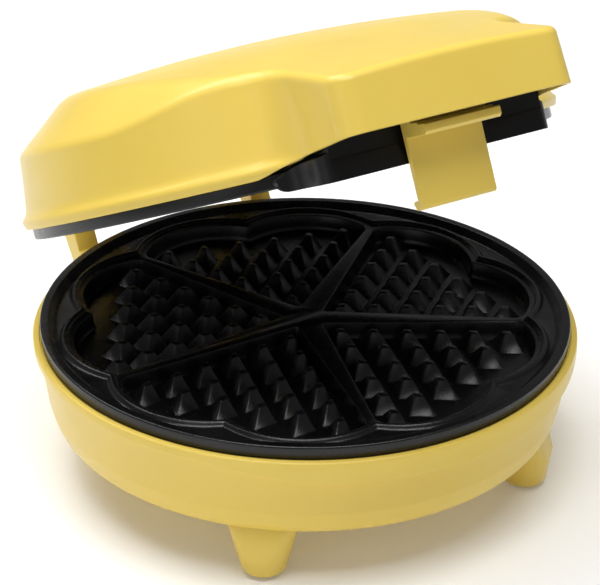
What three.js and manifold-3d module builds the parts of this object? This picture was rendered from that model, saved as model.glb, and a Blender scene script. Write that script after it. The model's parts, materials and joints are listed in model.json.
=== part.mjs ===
// Five-heart waffle maker: a round base on four feet, a hinged lid with a handle at the front,
// and a clip on the handle that catches under the front ledge of the base.
// Millimetres, +Z up, the handle points to -Y. The lid is drawn closed, then opened by its group.

import * as THREE from 'three';
import { mergeVertices } from 'three/addons/utils/BufferGeometryUtils.js';
import Module from 'manifold-3d';

// ---------------------------------------------------------------- driving dimensions

// fits
const GAP = 0.3;                    // air left between two pieces that touch
const SIDES = 60;                   // sides of a large round
const TUBE_SIDES = 8;
const SMALL_SIDES = 12;             // sides of a screw, pin or pad

// baking plates; the lower lip's top is the height 0
const LOWER_PLATE_R = 98;
const UPPER_PLATE_R = 96;
const LIP_W = 3.2;                  // flat top of the lip
const TROUGH_DEPTH = 2.8;           // lip top down to the flat ring
const TROUGH_SLOPE_W = 2.5;
const FLANGE_H = 5;                 // full-width rim of a plate
const FLANGE_STEP = 4;              // how far the body of a plate is set in from its rim
const PLATE_H = 12;
const HEART_DEPTH = 9;              // lip top down to the floor of a heart
const PATTERN_DEG = -15;            // first divider, from the front towards +X
const HEARTS = 5;
const LOBE_CENTRE_R = 56;           // ten lobes round the flower
const LOBE_R = 31;
const DIVIDER_W = 3.2;
const HEART_POINT_R = 5;            // how far a heart's point stays from the centre
const BEAD_IN = 2.0;                // raised bead round the flower, from its outline
const BEAD_W = 2.6;
const BEAD_H = 1.7;
const STUD_PITCH = 12.2;            // along a row; rows run parallel to both dividers
const STUD_BASE = 9;
const STUD_TOP = 2.6;
const STUD_H = 6;
const STUD_MARGIN = 1;              // least distance from a stud to its heart's wall
const PLATE_STUD_R = 2.4;           // mounting pegs cast on the back of a plate
const PLATE_STUD_CIRCLE_R = 34;
const PLATE_STUD_L = 14;

// heaters
const ELEMENT_R = 60;
const ELEMENT_TUBE_R = 3.3;
const ELEMENT_SWEEP_DEG = 306;
const TERMINAL_L = 9;
const TERMINAL_R = 2.2;
const REFLECTOR_R = 84;
const REFLECTOR_T = 0.9;
const REFLECTOR_RIM_H = 3;
const REFLECTOR_HOLE_R = 12;
const NUT_R = 4.4;
const NUT_H = 2.6;
const THERMOSTAT_R = 8;
const THERMOSTAT_H = 9;

// base housing
const BASE_WALL = 2.4;
const RIM_R = 100.7;                // bead round the top of the base
const RIM_TOP = -4.6;
const RIM_BOTTOM = -8;
const WALL_R = 98.9;
const WALL_TOP_Z = -9.2;
const WALL_LOW_R = 96.2;
const WALL_LOW_Z = -29;
const BASE_BOTTOM = -38.5;
const BASE_CORNER = 9;
const LEDGE_R = 101.6;              // front ledge that the clip catches under
const LEDGE_BOTTOM = -13;
const LEDGE_HALF = 74;              // half its width, side to side
const LEDGE_FULL_HALF = 40;         // half the width over which it is at full height

// feet
const FOOT_X = 56.4;
const FOOT_Y = 64.3;
const FOOT_BOTTOM = -57.2;
const FOOT_TOP_R = 12.6;
const FOOT_LOW_R = 7.6;
const FOOT_ROUND = 2.5;
const PAD_R = 5;
const PAD_T = 2;
const PAD_PROUD = 0.8;

// hinge
const HINGE_Y = 109.8;
const HINGE_Z = 6.4;
const POST_IN = 35.5;
const POST_OUT = 44.5;
const POST_R = 6;
const POST_ROOT_Y = 84;
const PIN_R = 2;
const PIN_CLEAR = 0.3;
const PIN_IN = 22;
const KNUCKLE_R = 5.6;

// lid housing, drawn closed
const LID_OPEN_DEG = 26.7;          // how far the lid stands open at rest
const CLOSED_GAP = 0.3;             // between the two plates when the lid is shut
const LID_WALL = 2.2;
const LID_RIM_R = 99;
const LID_RIM_Z = 4.4;
const LID_RIM_H = 3;
const LID_WALL_LOW_R = 97;
const LID_CREASE_R = 94.6;
const LID_CREASE_Z = 30.2;
const LID_CHAMFER_SLOPE = 0.91;     // rise over run
const LID_CHAMFER_SHIFT = 5;        // the chamfer's centre lies this far forward
const LID_TOP = 50.6;
const LID_FLAT_Y = 10;              // in front of this line the top falls away
const LID_FALL_R = 350;
const LID_FALL_SLOPE = 0.2;
const LID_CROWN_R = 480;            // side-to-side crown
const HANDLE_HALF = 44;
const HANDLE_FRONT = -122;          // at the front crease
const HANDLE_CREASE_Z = 31;
const HANDLE_DRAFT = 0.09;          // the front leans out towards its lower edge
const HANDLE_CORNER = 8;
const HANDLE_BLEND = 18;            // hollow fillet from the round wall to the handle
const HANDLE_LOW_Z = 12;            // lower edge of the handle's front
const SWEEP_START = -79;            // the lower edge starts to rise here

// handle liner
const LINER_FRONT = -103.5;
const LINER_HALF = 45;
const LINER_EDGE_R = 6;             // its upright front corners
const LINER_END_X = 53;             // the ends flare out under the lid's lower edge to here
const LINER_END_Y = -86;
const LINER_FLARE_Y = -95;          // where the flare begins
const LINER_BACK = -80;
const LINER_BOTTOM = -1.4;
const LINER_CORNER = 4.5;           // rounded lower ends
const LINER_SHOULDER_Z = 3.5;       // the ends lean in above this height
const LINER_NECK_Z = 8.4;           // and stand upright again above this one
const LINER_STEP_Z = 5.6;
const LINER_STEP = 0.5;
const LINER_WALL = 2;
const LINER_CLEAR = 0.8;            // from the lower plate's edge when the lid is shut
const LINER_PANEL_Z = 20;           // roof of the finger space

// clip
const CLIP_HALF = 14.7;
const CLIP_T = 2;
const CLIP_FRONT = -107;
const CLIP_PIVOT_Y = -106.6;
const CLIP_PIVOT_Z = 15.5;
const CLIP_BARREL_R = 2.7;
const CLIP_PIN_R = 1.3;
const CLIP_BOTTOM = -16.9;
const HOOK_T = 3.1;
const HOOK_TIP = -102.2;
const TAB_FRONT = -119.5;
const TAB_TOP = 11.9;
const TAB_BOTTOM = 6.6;
const TAB_RIDGES = 3;
const EAR_T = 3;
const LINER_SCREW_X = 28;
const LINER_SCREW_Y = -112;

// fasteners
const SCREW_R = 1.6;
const SCREW_HEAD_R = 3.2;
const SCREW_HEAD_H = 2.4;
const BOSS_R = 5.4;
const BOSS_CIRCLE_R = 72;
const BOSS_ANGLES = [-90, 30, 150]; // degrees from +X

// cord inlet
const INLET_Z = -21;
const INLET_R = 5.2;
const INLET_FLANGE_R = 7.6;
const CORD_R = 3.3;

// bottom vents
const VENT_COUNT = 7;
const VENT_PITCH = 7;
const VENT_W = 2.6;
const VENT_L = 46;

// ---------------------------------------------------------------- solids

const wasm = await Module();
wasm.setup();

const degrees = (value) => value * Math.PI / 180;

// Joins equal vertices, drops collapsed triangles and turns the faces outwards.
function cleanGeometry(geometry) {
  const source = geometry.clone();
  source.deleteAttribute('normal');
  source.deleteAttribute('uv');
  const merged = mergeVertices(source, 1e-4);
  const position = merged.getAttribute('position');
  const kept = [];
  let volume = 0;
  const a = new THREE.Vector3();
  const b = new THREE.Vector3();
  const c = new THREE.Vector3();
  for (let i = 0; i < merged.index.count; i += 3) {
    const [p, q, r] = [merged.index.getX(i), merged.index.getX(i + 1), merged.index.getX(i + 2)];
    if (p === q || q === r || r === p) continue;
    kept.push(p, q, r);
    a.fromBufferAttribute(position, p);
    b.fromBufferAttribute(position, q);
    c.fromBufferAttribute(position, r);
    volume += a.dot(b.cross(c));
  }
  if (volume < 0) {
    for (let i = 0; i < kept.length; i += 3) {
      [kept[i + 1], kept[i + 2]] = [kept[i + 2], kept[i + 1]];
    }
  }
  merged.setIndex(kept);
  return merged;
}

function solid(geometry) {
  const clean = cleanGeometry(geometry);
  const vertProperties = new Float32Array(clean.getAttribute('position').array);
  const triVerts = new Uint32Array(clean.index.array);
  return new wasm.Manifold(new wasm.Mesh({ numProp: 3, vertProperties, triVerts }));
}

function geometryOf(manifold) {
  const mesh = manifold.getMesh();
  const geometry = new THREE.BufferGeometry();
  const positions = new Float32Array(mesh.numVert * 3);
  for (let i = 0; i < mesh.numVert; i += 1) {
    for (let k = 0; k < 3; k += 1) {
      positions[i * 3 + k] = mesh.vertProperties[i * mesh.numProp + k];
    }
  }
  geometry.setAttribute('position', new THREE.BufferAttribute(positions, 3));
  geometry.setIndex(new THREE.BufferAttribute(new Uint32Array(mesh.triVerts), 1));
  geometry.computeVertexNormals();
  return geometry;
}

const joinAll = (solids) => solids.reduce((sum, next) => sum.add(next));
const cutAll = (body, tools) => tools.reduce((left, tool) => left.subtract(tool), body);

// A profile of [radius, height] pairs, spun about the vertical axis.
function spun(profile, sides = SIDES) {
  const points = profile.map(([radius, height]) => new THREE.Vector2(Math.max(radius, 0), height));
  return new THREE.LatheGeometry(points, sides).rotateX(Math.PI / 2);
}

// The same for a solid whose profile starts and ends on the axis or closes on itself.
function spunSolid(profile, sides = SIDES) {
  const closed = profile[0][0] > 0 ? [...profile, profile[0]] : profile;
  return solid(spun(closed, sides));
}

// An upright round rod between two heights.
function rod(radius, low, high, x = 0, y = 0, sides = SMALL_SIDES) {
  const geometry = new THREE.CylinderGeometry(radius, radius, high - low, sides);
  return geometry.rotateX(Math.PI / 2).translate(x, y, (low + high) / 2);
}

// A rod that lies along X.
function crossRod(radius, left, right, y, z, sides = SMALL_SIDES) {
  const geometry = new THREE.CylinderGeometry(radius, radius, right - left, sides);
  return geometry.rotateZ(Math.PI / 2).translate((left + right) / 2, y, z);
}

function block(left, right, front, back, low, high) {
  const geometry = new THREE.BoxGeometry(right - left, back - front, high - low);
  return geometry.translate((left + right) / 2, (front + back) / 2, (low + high) / 2);
}

// A plan outline raised between two heights.
function raised(shape, low, high, curveSegments = 8) {
  const geometry = new THREE.ExtrudeGeometry(shape, { depth: high - low, bevelEnabled: false, curveSegments });
  return geometry.translate(0, 0, low);
}

// A side view, drawn as [y, z] pairs, extended across X.
function across(outline, left, right) {
  const shape = outline instanceof THREE.Shape
    ? outline
    : new THREE.Shape(outline.map(([y, z]) => new THREE.Vector2(y, z)));
  const geometry = new THREE.ExtrudeGeometry(shape, { depth: right - left, bevelEnabled: false, curveSegments: 8 });
  geometry.rotateX(Math.PI / 2).rotateZ(Math.PI / 2);
  return geometry.translate(left, 0, 0);
}

// ---------------------------------------------------------------- materials

const paint = (color, roughness, metalness = 0) => new THREE.MeshStandardMaterial({ color, roughness, metalness });
const yellowPlastic = paint(0xe8cf6e, 0.35);
const blackPlastic = paint(0x17171a, 0.45);
const coatedAluminium = paint(0x1d1e20, 0.35, 0.2);
const bareSteel = paint(0x9a9c9e, 0.4, 0.9);
const sheetMetal = paint(0xb9babb, 0.35, 0.9);
const rubber = paint(0x2a2a2a, 0.85);
const ceramic = paint(0xe6e1d6, 0.6);
const leadSleeve = paint(0xb5b0a2, 0.8);

const model = new THREE.Group();
const lid = new THREE.Group();
const clip = new THREE.Group();

function addPart(group, name, shape, material) {
  const geometry = shape instanceof THREE.BufferGeometry ? cleanGeometry(shape) : geometryOf(shape);
  geometry.computeVertexNormals();
  const mesh = new THREE.Mesh(geometry, material);
  mesh.name = name;
  group.add(mesh);
  return mesh;
}

// ---------------------------------------------------------------- baking plates

const SECTOR = 2 * Math.PI / HEARTS;

// Where the outline of the ten lobes lies, at an angle from a lobe's own centre line.
function lobeRadius(angle, lobeR) {
  const side = LOBE_CENTRE_R * Math.sin(angle);
  return LOBE_CENTRE_R * Math.cos(angle) + Math.sqrt(lobeR * lobeR - side * side);
}

// The whole flower, grown outwards by an offset.
function flowerShape(offset, patternAngle, stepsPerLobe = 5) {
  const lobes = HEARTS * 2;
  const lobeAngle = 2 * Math.PI / lobes;
  const points = [];
  for (let lobe = 0; lobe < lobes; lobe += 1) {
    for (let step = 0; step < stepsPerLobe; step += 1) {
      const local = (step / stepsPerLobe - 0.5) * lobeAngle;
      const radius = lobeRadius(local, LOBE_R + offset);
      const angle = patternAngle + (lobe + 0.5) * lobeAngle + local;
      points.push(new THREE.Vector2(radius * Math.sin(angle), -radius * Math.cos(angle)));
    }
  }
  return new THREE.Shape(points);
}

// One heart, its point towards the centre and its axis towards +V of its own frame.
function heartPoints() {
  const half = SECTOR / 2;
  const lobeAngle = SECTOR / 2;
  const wall = DIVIDER_W / 2;
  const points = [[0, HEART_POINT_R + wall / Math.sin(half)]];
  const steps = 7;
  const right = [];
  for (let step = 0; step <= steps; step += 1) {
    const local = (0.5 - step / steps) * lobeAngle;
    const radius = lobeRadius(local, LOBE_R);
    const angle = lobeAngle / 2 + local;
    const fromDivider = radius * Math.sin(half - angle);
    if (fromDivider < wall) continue;
    right.push([radius * Math.sin(angle), radius * Math.cos(angle)]);
  }
  const corner = lobeRadius(lobeAngle / 2, LOBE_R) - 1.5;
  const cornerAngle = half - Math.asin(wall / corner);
  right.unshift([corner * Math.sin(cornerAngle), corner * Math.cos(cornerAngle)]);
  const left = right.slice(0, -1).reverse().map(([u, v]) => [-u, v]);
  return [...points, ...right, ...left];
}

// Least distance from a point to the heart's outline, negative outside it.
function insideHeart(points, u, v) {
  let nearest = Infinity;
  let inside = false;
  for (let i = 0; i < points.length; i += 1) {
    const [ax, ay] = points[i];
    const [bx, by] = points[(i + 1) % points.length];
    const length2 = (bx - ax) ** 2 + (by - ay) ** 2;
    const t = Math.min(1, Math.max(0, ((u - ax) * (bx - ax) + (v - ay) * (by - ay)) / length2));
    nearest = Math.min(nearest, Math.hypot(u - ax - t * (bx - ax), v - ay - t * (by - ay)));
    if ((ay > v) !== (by > v) && u < (bx - ax) * (v - ay) / (by - ay) + ax) inside = !inside;
  }
  return inside ? nearest : -nearest;
}

// The places of a heart's studs: a lattice whose rows run parallel to both dividers.
function studPlaces(points) {
  const places = [];
  const stepU = STUD_PITCH * Math.sin(SECTOR / 2);
  const stepV = STUD_PITCH * Math.cos(SECTOR / 2);
  const reachU = STUD_BASE * Math.sin(SECTOR / 2);
  const reachV = STUD_BASE * Math.cos(SECTOR / 2);
  const start = points[0][1] + reachV + STUD_MARGIN / Math.sin(SECTOR / 2);
  for (let row = 0; row < 12; row += 1) {
    for (let column = -row; column <= row; column += 2) {
      const u = column * stepU;
      const v = start + row * stepV;
      const corners = [[u - reachU, v], [u + reachU, v], [u, v - reachV], [u, v + reachV]];
      if (corners.every(([x, y]) => insideHeart(points, x, y) > STUD_MARGIN * 0.9)) places.push([u, v]);
    }
  }
  return places;
}

// One stud, a low pyramid with its top cut off, as wide as the lattice's diamonds.
function studShape(u, v, turn) {
  const sunk = 0.5;
  const stud = new THREE.CylinderGeometry(STUD_TOP, STUD_BASE, STUD_H + sunk, 4);
  stud.rotateX(Math.PI / 2).scale(Math.sin(SECTOR / 2), Math.cos(SECTOR / 2), 1);
  return stud.translate(u, v, -HEART_DEPTH + (STUD_H - sunk) / 2).rotateZ(turn);
}

// A plate with its lip's top at height 0 and its back below.
function platePart(outerR, patternDeg) {
  const bodyR = outerR - FLANGE_STEP;
  const body = spunSolid([
    [0, -PLATE_H], [bodyR, -PLATE_H], [bodyR, -FLANGE_H], [outerR, -FLANGE_H], [outerR, -0.8],
    [outerR - 0.8, 0], [outerR - LIP_W, 0], [outerR - LIP_W - TROUGH_SLOPE_W, -TROUGH_DEPTH],
    [0, -TROUGH_DEPTH],
  ]);
  const pattern = degrees(patternDeg);
  const beadOutside = raised(flowerShape(BEAD_IN + BEAD_W, pattern), -TROUGH_DEPTH - 1, -TROUGH_DEPTH + BEAD_H);
  const beadInside = raised(flowerShape(BEAD_IN, pattern), -TROUGH_DEPTH, 1);
  let plate = body.add(solid(beadOutside)).subtract(solid(beadInside));
  const outline = heartPoints();
  const places = studPlaces(outline);
  const heartShape = new THREE.Shape(outline.map(([u, v]) => new THREE.Vector2(u, v)));
  for (let heart = 0; heart < HEARTS; heart += 1) {
    const turn = Math.PI + pattern + (heart + 0.5) * SECTOR;
    const pocket = raised(heartShape, -HEART_DEPTH, 1).rotateZ(turn);
    plate = plate.subtract(solid(pocket));
    for (const [u, v] of places) {
      plate = plate.add(solid(studShape(u, v, turn)));
    }
  }
  for (const angle of BOSS_ANGLES) {
    const x = PLATE_STUD_CIRCLE_R * Math.cos(degrees(angle));
    const y = PLATE_STUD_CIRCLE_R * Math.sin(degrees(angle));
    plate = plate.add(solid(rod(PLATE_STUD_R, -PLATE_H - PLATE_STUD_L, -PLATE_H + 1, x, y)));
  }
  return geometryOf(plate);
}

// ---------------------------------------------------------------- heaters, drawn under a plate

const ELEMENT_Z = -PLATE_H - GAP - ELEMENT_TUBE_R;
const REFLECTOR_Z = ELEMENT_Z - ELEMENT_TUBE_R - 2.5;
const BOSS_TOP = REFLECTOR_Z - REFLECTOR_T - GAP;

function roundSection(radius) {
  const points = [];
  for (let side = 0; side < TUBE_SIDES; side += 1) {
    const angle = 2 * Math.PI * (side + 0.5) / TUBE_SIDES;
    points.push(new THREE.Vector2(radius * Math.cos(angle), radius * Math.sin(angle)));
  }
  return new THREE.Shape(points);
}

class ElementArc extends THREE.Curve {
  getPoint(t, target = new THREE.Vector3()) {
    const angle = degrees((t - 0.5) * ELEMENT_SWEEP_DEG);
    return target.set(ELEMENT_R * Math.sin(angle), -ELEMENT_R * Math.cos(angle), ELEMENT_Z);
  }
}

function elementEnd(side) {
  const angle = degrees(side * ELEMENT_SWEEP_DEG / 2);
  return [ELEMENT_R * Math.sin(angle), -ELEMENT_R * Math.cos(angle)];
}

function elementPart() {
  const tube = new THREE.ExtrudeGeometry(roundSection(ELEMENT_TUBE_R), {
    steps: 32, bevelEnabled: false, extrudePath: new ElementArc(),
  });
  let element = solid(tube);
  for (const side of [-1, 1]) {
    const [x, y] = elementEnd(side);
    element = element.add(solid(rod(ELEMENT_TUBE_R, ELEMENT_Z - ELEMENT_TUBE_R, ELEMENT_Z + 2, x, y)));
    element = element.add(solid(rod(TERMINAL_R, ELEMENT_Z - TERMINAL_L, ELEMENT_Z, x, y)));
  }
  return geometryOf(element);
}

function reflectorPart() {
  const top = REFLECTOR_Z;
  const bottom = REFLECTOR_Z - REFLECTOR_T;
  const dish = spunSolid([
    [REFLECTOR_HOLE_R, bottom], [REFLECTOR_R, bottom], [REFLECTOR_R, top + REFLECTOR_RIM_H],
    [REFLECTOR_R - REFLECTOR_T, top + REFLECTOR_RIM_H], [REFLECTOR_R - REFLECTOR_T, top],
    [REFLECTOR_HOLE_R, top],
  ], 40);
  const holes = [];
  for (const angle of BOSS_ANGLES) {
    const c = Math.cos(degrees(angle));
    const s = Math.sin(degrees(angle));
    const pegHole = rod(PLATE_STUD_R + GAP, bottom - 1, top + 1, PLATE_STUD_CIRCLE_R * c, PLATE_STUD_CIRCLE_R * s);
    holes.push(solid(pegHole));
    holes.push(solid(rod(SCREW_R + GAP, bottom - 1, top + 1, BOSS_CIRCLE_R * c, BOSS_CIRCLE_R * s)));
  }
  for (const side of [-1, 1]) {
    const [x, y] = elementEnd(side);
    holes.push(solid(rod(ELEMENT_TUBE_R + 1, bottom - 1, top + 1, x, y)));
  }
  return geometryOf(cutAll(dish, holes));
}

function nutPart(index) {
  const angle = degrees(BOSS_ANGLES[index]);
  const x = PLATE_STUD_CIRCLE_R * Math.cos(angle);
  const y = PLATE_STUD_CIRCLE_R * Math.sin(angle);
  const high = REFLECTOR_Z - REFLECTOR_T - GAP;
  const nut = solid(rod(NUT_R, high - NUT_H, high, x, y, 6));
  return geometryOf(nut.subtract(solid(rod(PLATE_STUD_R + GAP, high - NUT_H - 1, high + 1, x, y))));
}

// ---------------------------------------------------------------- base housing

function baseShell() {
  const steps = 4;
  const outerCorner = [];
  const innerCorner = [];
  const cornerR = WALL_LOW_R - 1.2;
  for (let step = 0; step <= steps; step += 1) {
    const angle = step / steps * Math.PI / 2;
    const out = [cornerR - BASE_CORNER + BASE_CORNER * Math.cos(angle),
      BASE_BOTTOM + BASE_CORNER - BASE_CORNER * Math.sin(angle)];
    const innerR = BASE_CORNER - BASE_WALL;
    outerCorner.push(out);
    innerCorner.unshift([cornerR - BASE_CORNER + innerR * Math.cos(angle),
      BASE_BOTTOM + BASE_CORNER - innerR * Math.sin(angle)]);
  }
  const seatR = LOWER_PLATE_R + GAP;
  const seatZ = -FLANGE_H - GAP;
  const throatR = LOWER_PLATE_R - FLANGE_STEP + GAP;
  return spunSolid([
    [seatR, RIM_TOP], [RIM_R - 1.2, RIM_TOP], [RIM_R - 0.35, RIM_TOP - 0.35], [RIM_R, RIM_TOP - 1.2],
    [RIM_R, RIM_BOTTOM + 1], [RIM_R - 0.5, RIM_BOTTOM], [WALL_R, WALL_TOP_Z],
    [WALL_LOW_R, WALL_LOW_Z], ...outerCorner, [0, BASE_BOTTOM],
    [0, BASE_BOTTOM + BASE_WALL], ...innerCorner,
    [WALL_LOW_R - BASE_WALL, WALL_LOW_Z], [WALL_R - BASE_WALL - 1, RIM_BOTTOM - 4],
    [throatR, RIM_BOTTOM - 3], [throatR, seatZ], [seatR, seatZ],
  ]);
}

// The ledge that grows out of the rim across the front, deepest in the middle.
function frontLedge() {
  const ring = spunSolid([
    [WALL_LOW_R + 0.4, LEDGE_BOTTOM], [LEDGE_R - 0.6, LEDGE_BOTTOM], [LEDGE_R, LEDGE_BOTTOM + 0.6],
    [RIM_R, RIM_TOP - 1.2], [RIM_R - 0.35, RIM_TOP - 0.35], [RIM_R - 1.2, RIM_TOP],
    [LOWER_PLATE_R + GAP, RIM_TOP], [LOWER_PLATE_R + GAP, -FLANGE_H - GAP - 1], [WALL_LOW_R + 0.4, RIM_BOTTOM - 2],
  ]);
  const lens = new THREE.Shape();
  lens.moveTo(-LEDGE_HALF, 0);
  lens.lineTo(-LEDGE_HALF, RIM_BOTTOM + 1);
  lens.quadraticCurveTo(-LEDGE_HALF + 12, LEDGE_BOTTOM, -LEDGE_FULL_HALF, LEDGE_BOTTOM - 0.01);
  lens.lineTo(LEDGE_FULL_HALF, LEDGE_BOTTOM - 0.01);
  lens.quadraticCurveTo(LEDGE_HALF - 12, LEDGE_BOTTOM, LEDGE_HALF, RIM_BOTTOM + 1);
  lens.lineTo(LEDGE_HALF, 0);
  const window = new THREE.ExtrudeGeometry(lens, { depth: RIM_R, bevelEnabled: false, curveSegments: 6 });
  window.rotateX(Math.PI / 2).translate(0, -20, 0);
  return ring.intersect(solid(window));
}

function footSolid(x, y) {
  const top = BASE_BOTTOM + BASE_WALL - 0.2;
  return spunSolid([
    [0, top], [FOOT_TOP_R, top], [FOOT_LOW_R, FOOT_BOTTOM + FOOT_ROUND],
    [FOOT_LOW_R - FOOT_ROUND * 0.3, FOOT_BOTTOM + FOOT_ROUND * 0.3],
    [FOOT_LOW_R - FOOT_ROUND, FOOT_BOTTOM], [0, FOOT_BOTTOM],
  ], 24).translate([x, y, 0]);
}

// A hinge post, seen from the side.
function postOutline() {
  const shape = new THREE.Shape();
  shape.moveTo(POST_ROOT_Y, RIM_TOP - 1);
  shape.lineTo(RIM_R - 3, RIM_TOP - 1);
  shape.lineTo(HINGE_Y - POST_R, HINGE_Z - 3);
  shape.absarc(HINGE_Y, HINGE_Z, POST_R, Math.PI, 0, true);
  shape.lineTo(HINGE_Y + POST_R, HINGE_Z - 4);
  shape.lineTo(HINGE_Y + POST_R - 5, RIM_TOP);
  shape.lineTo(POST_ROOT_Y, RIM_BOTTOM - 16);
  return shape;
}

function basePart() {
  let housing = baseShell().add(frontLedge());
  const cavity = spunSolid([
    [0, BASE_BOTTOM + BASE_WALL], [WALL_LOW_R - BASE_CORNER, BASE_BOTTOM + BASE_WALL],
    [WALL_LOW_R - BASE_WALL - 1.2, BASE_BOTTOM + BASE_CORNER], [WALL_LOW_R - BASE_WALL, WALL_LOW_Z],
    [LOWER_PLATE_R - FLANGE_STEP + GAP, RIM_BOTTOM - 3], [LOWER_PLATE_R - FLANGE_STEP + GAP, 5], [0, 5],
  ]);
  const posts = [[-POST_OUT, -POST_IN], [POST_IN, POST_OUT]]
    .map(([left, right]) => solid(across(postOutline(), left, right)));
  housing = joinAll([housing, ...posts]).subtract(cavity);
  for (const x of [-FOOT_X, FOOT_X]) {
    for (const y of [-FOOT_Y, FOOT_Y]) {
      housing = housing.add(footSolid(x, y));
      housing = housing.subtract(solid(rod(PAD_R + GAP, FOOT_BOTTOM - 1, FOOT_BOTTOM + PAD_T - PAD_PROUD + GAP, x, y)));
    }
  }
  const seatTop = -FLANGE_H - GAP;
  housing = housing.subtract(solid(rod(LOWER_PLATE_R + GAP, seatTop, 20, 0, 0, SIDES)));
  const pinHole = crossRod(PIN_R + PIN_CLEAR, -POST_OUT - 1, POST_OUT + 1, HINGE_Y, HINGE_Z);
  housing = housing.subtract(solid(pinHole));
  for (const angle of BOSS_ANGLES) {
    const x = BOSS_CIRCLE_R * Math.cos(degrees(angle));
    const y = BOSS_CIRCLE_R * Math.sin(degrees(angle));
    housing = housing.add(solid(rod(BOSS_R, BASE_BOTTOM + 0.5, BOSS_TOP, x, y)));
    housing = housing.subtract(solid(rod(SCREW_HEAD_R + 0.8, BASE_BOTTOM - 1, BASE_BOTTOM + 5.5, x, y)));
    housing = housing.subtract(solid(rod(SCREW_R + GAP, BASE_BOTTOM, BOSS_TOP + 1, x, y)));
  }
  for (let slot = 0; slot < VENT_COUNT; slot += 1) {
    const y = (slot - (VENT_COUNT - 1) / 2) * VENT_PITCH;
    const vent = block(-VENT_L / 2, VENT_L / 2, y - VENT_W / 2, y + VENT_W / 2, BASE_BOTTOM - 1, BASE_BOTTOM + BASE_WALL + 1);
    housing = housing.subtract(solid(vent));
  }
  const inlet = new THREE.CylinderGeometry(INLET_R + GAP, INLET_R + GAP, 30, SMALL_SIDES);
  housing = housing.subtract(solid(inlet.translate(0, WALL_R, INLET_Z)));
  return geometryOf(housing);
}

addPart(model, 'base_housing', basePart(), yellowPlastic);

const footNames = { front_left: [-1, -1], front_right: [1, -1], rear_left: [-1, 1], rear_right: [1, 1] };
for (const [place, [sideX, sideY]] of Object.entries(footNames)) {
  const low = FOOT_BOTTOM - PAD_PROUD;
  const pad = rod(PAD_R, low, low + PAD_T, sideX * FOOT_X, sideY * FOOT_Y, 20);
  addPart(model, `foot_pad_${place}`, pad, rubber);
}

addPart(model, 'lower_plate', platePart(LOWER_PLATE_R, PATTERN_DEG), coatedAluminium);
addPart(model, 'lower_heating_element', elementPart(), bareSteel);
addPart(model, 'lower_reflector', reflectorPart(), sheetMetal);
BOSS_ANGLES.forEach((angle, index) => {
  addPart(model, `lower_plate_nut_${index + 1}`, nutPart(index), bareSteel);
});

// Screws that hold the lower reflector to the base, driven from underneath.
BOSS_ANGLES.forEach((angle, index) => {
  const x = BOSS_CIRCLE_R * Math.cos(degrees(angle));
  const y = BOSS_CIRCLE_R * Math.sin(degrees(angle));
  const headTop = BASE_BOTTOM + 5.5 - GAP;
  const head = solid(rod(SCREW_HEAD_R, headTop - SCREW_HEAD_H, headTop, x, y));
  const shaft = solid(rod(SCREW_R, headTop - 0.5, REFLECTOR_Z + 1.5, x, y));
  const drive = solid(block(x - 1.9, x + 1.9, y - 0.4, y + 0.4, headTop - SCREW_HEAD_H - 1, headTop - SCREW_HEAD_H + 1));
  addPart(model, `base_screw_${index + 1}`, head.add(shaft).subtract(drive), bareSteel);
});

// Thermostat, pressed to the back of the lower plate through the reflector's centre hole.
const thermostatTop = -PLATE_H - GAP;
const thermostat = solid(rod(THERMOSTAT_R, thermostatTop - THERMOSTAT_H, thermostatTop, 0, 0, 24))
  .add(solid(block(-11, 11, -0.5, 0.5, thermostatTop - THERMOSTAT_H + 1, thermostatTop - THERMOSTAT_H + 4)));
addPart(model, 'thermostat', thermostat, ceramic);

const fuseZ = REFLECTOR_Z - REFLECTOR_T - GAP - 2.6;
addPart(model, 'thermal_fuse', crossRod(2.4, -12, 12, 28, fuseZ), ceramic);

// Terminal block on the floor, beside the cord inlet.
const floorTop = BASE_BOTTOM + BASE_WALL;
const BLOCK_Y = 60;
const BLOCK_H = 8;
const terminalBlock = cutAll(
  solid(block(-15, 15, BLOCK_Y - 6, BLOCK_Y + 6, floorTop + GAP, floorTop + GAP + BLOCK_H)),
  [-9, 0, 9].map((x) => solid(rod(1.8, floorTop + 3, floorTop + BLOCK_H + 2, x, BLOCK_Y))),
);
addPart(model, 'terminal_block', terminalBlock, ceramic);

// Sleeved leads from the block up to the two heater terminals.
const LEAD_R = 1.3;
const terminalTip = ELEMENT_Z - TERMINAL_L;
[['left', -1], ['right', 1]].forEach(([sideName, side]) => {
  const [x, y] = elementEnd(side);
  const route = new THREE.CatmullRomCurve3([
    new THREE.Vector3(side * (15 + GAP + 0.1), BLOCK_Y, floorTop + 4),
    new THREE.Vector3(side * 20, BLOCK_Y, floorTop + 4),
    new THREE.Vector3(x, BLOCK_Y - 2, floorTop + 4.5),
    new THREE.Vector3(x, y, terminalTip - 3.5),
    new THREE.Vector3(x, y, terminalTip - GAP),
  ]);
  const lead = new THREE.ExtrudeGeometry(roundSection(LEAD_R), {
    steps: 14, bevelEnabled: false, extrudePath: route,
  });
  addPart(model, `heater_lead_${sideName}`, lead, leadSleeve);
});

// Radius of the base's outer wall at a height between its groove and its lower corner.
function wallRadius(z) {
  const share = (WALL_TOP_Z - z) / (WALL_TOP_Z - WALL_LOW_Z);
  return WALL_R - share * (WALL_R - WALL_LOW_R);
}

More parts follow.
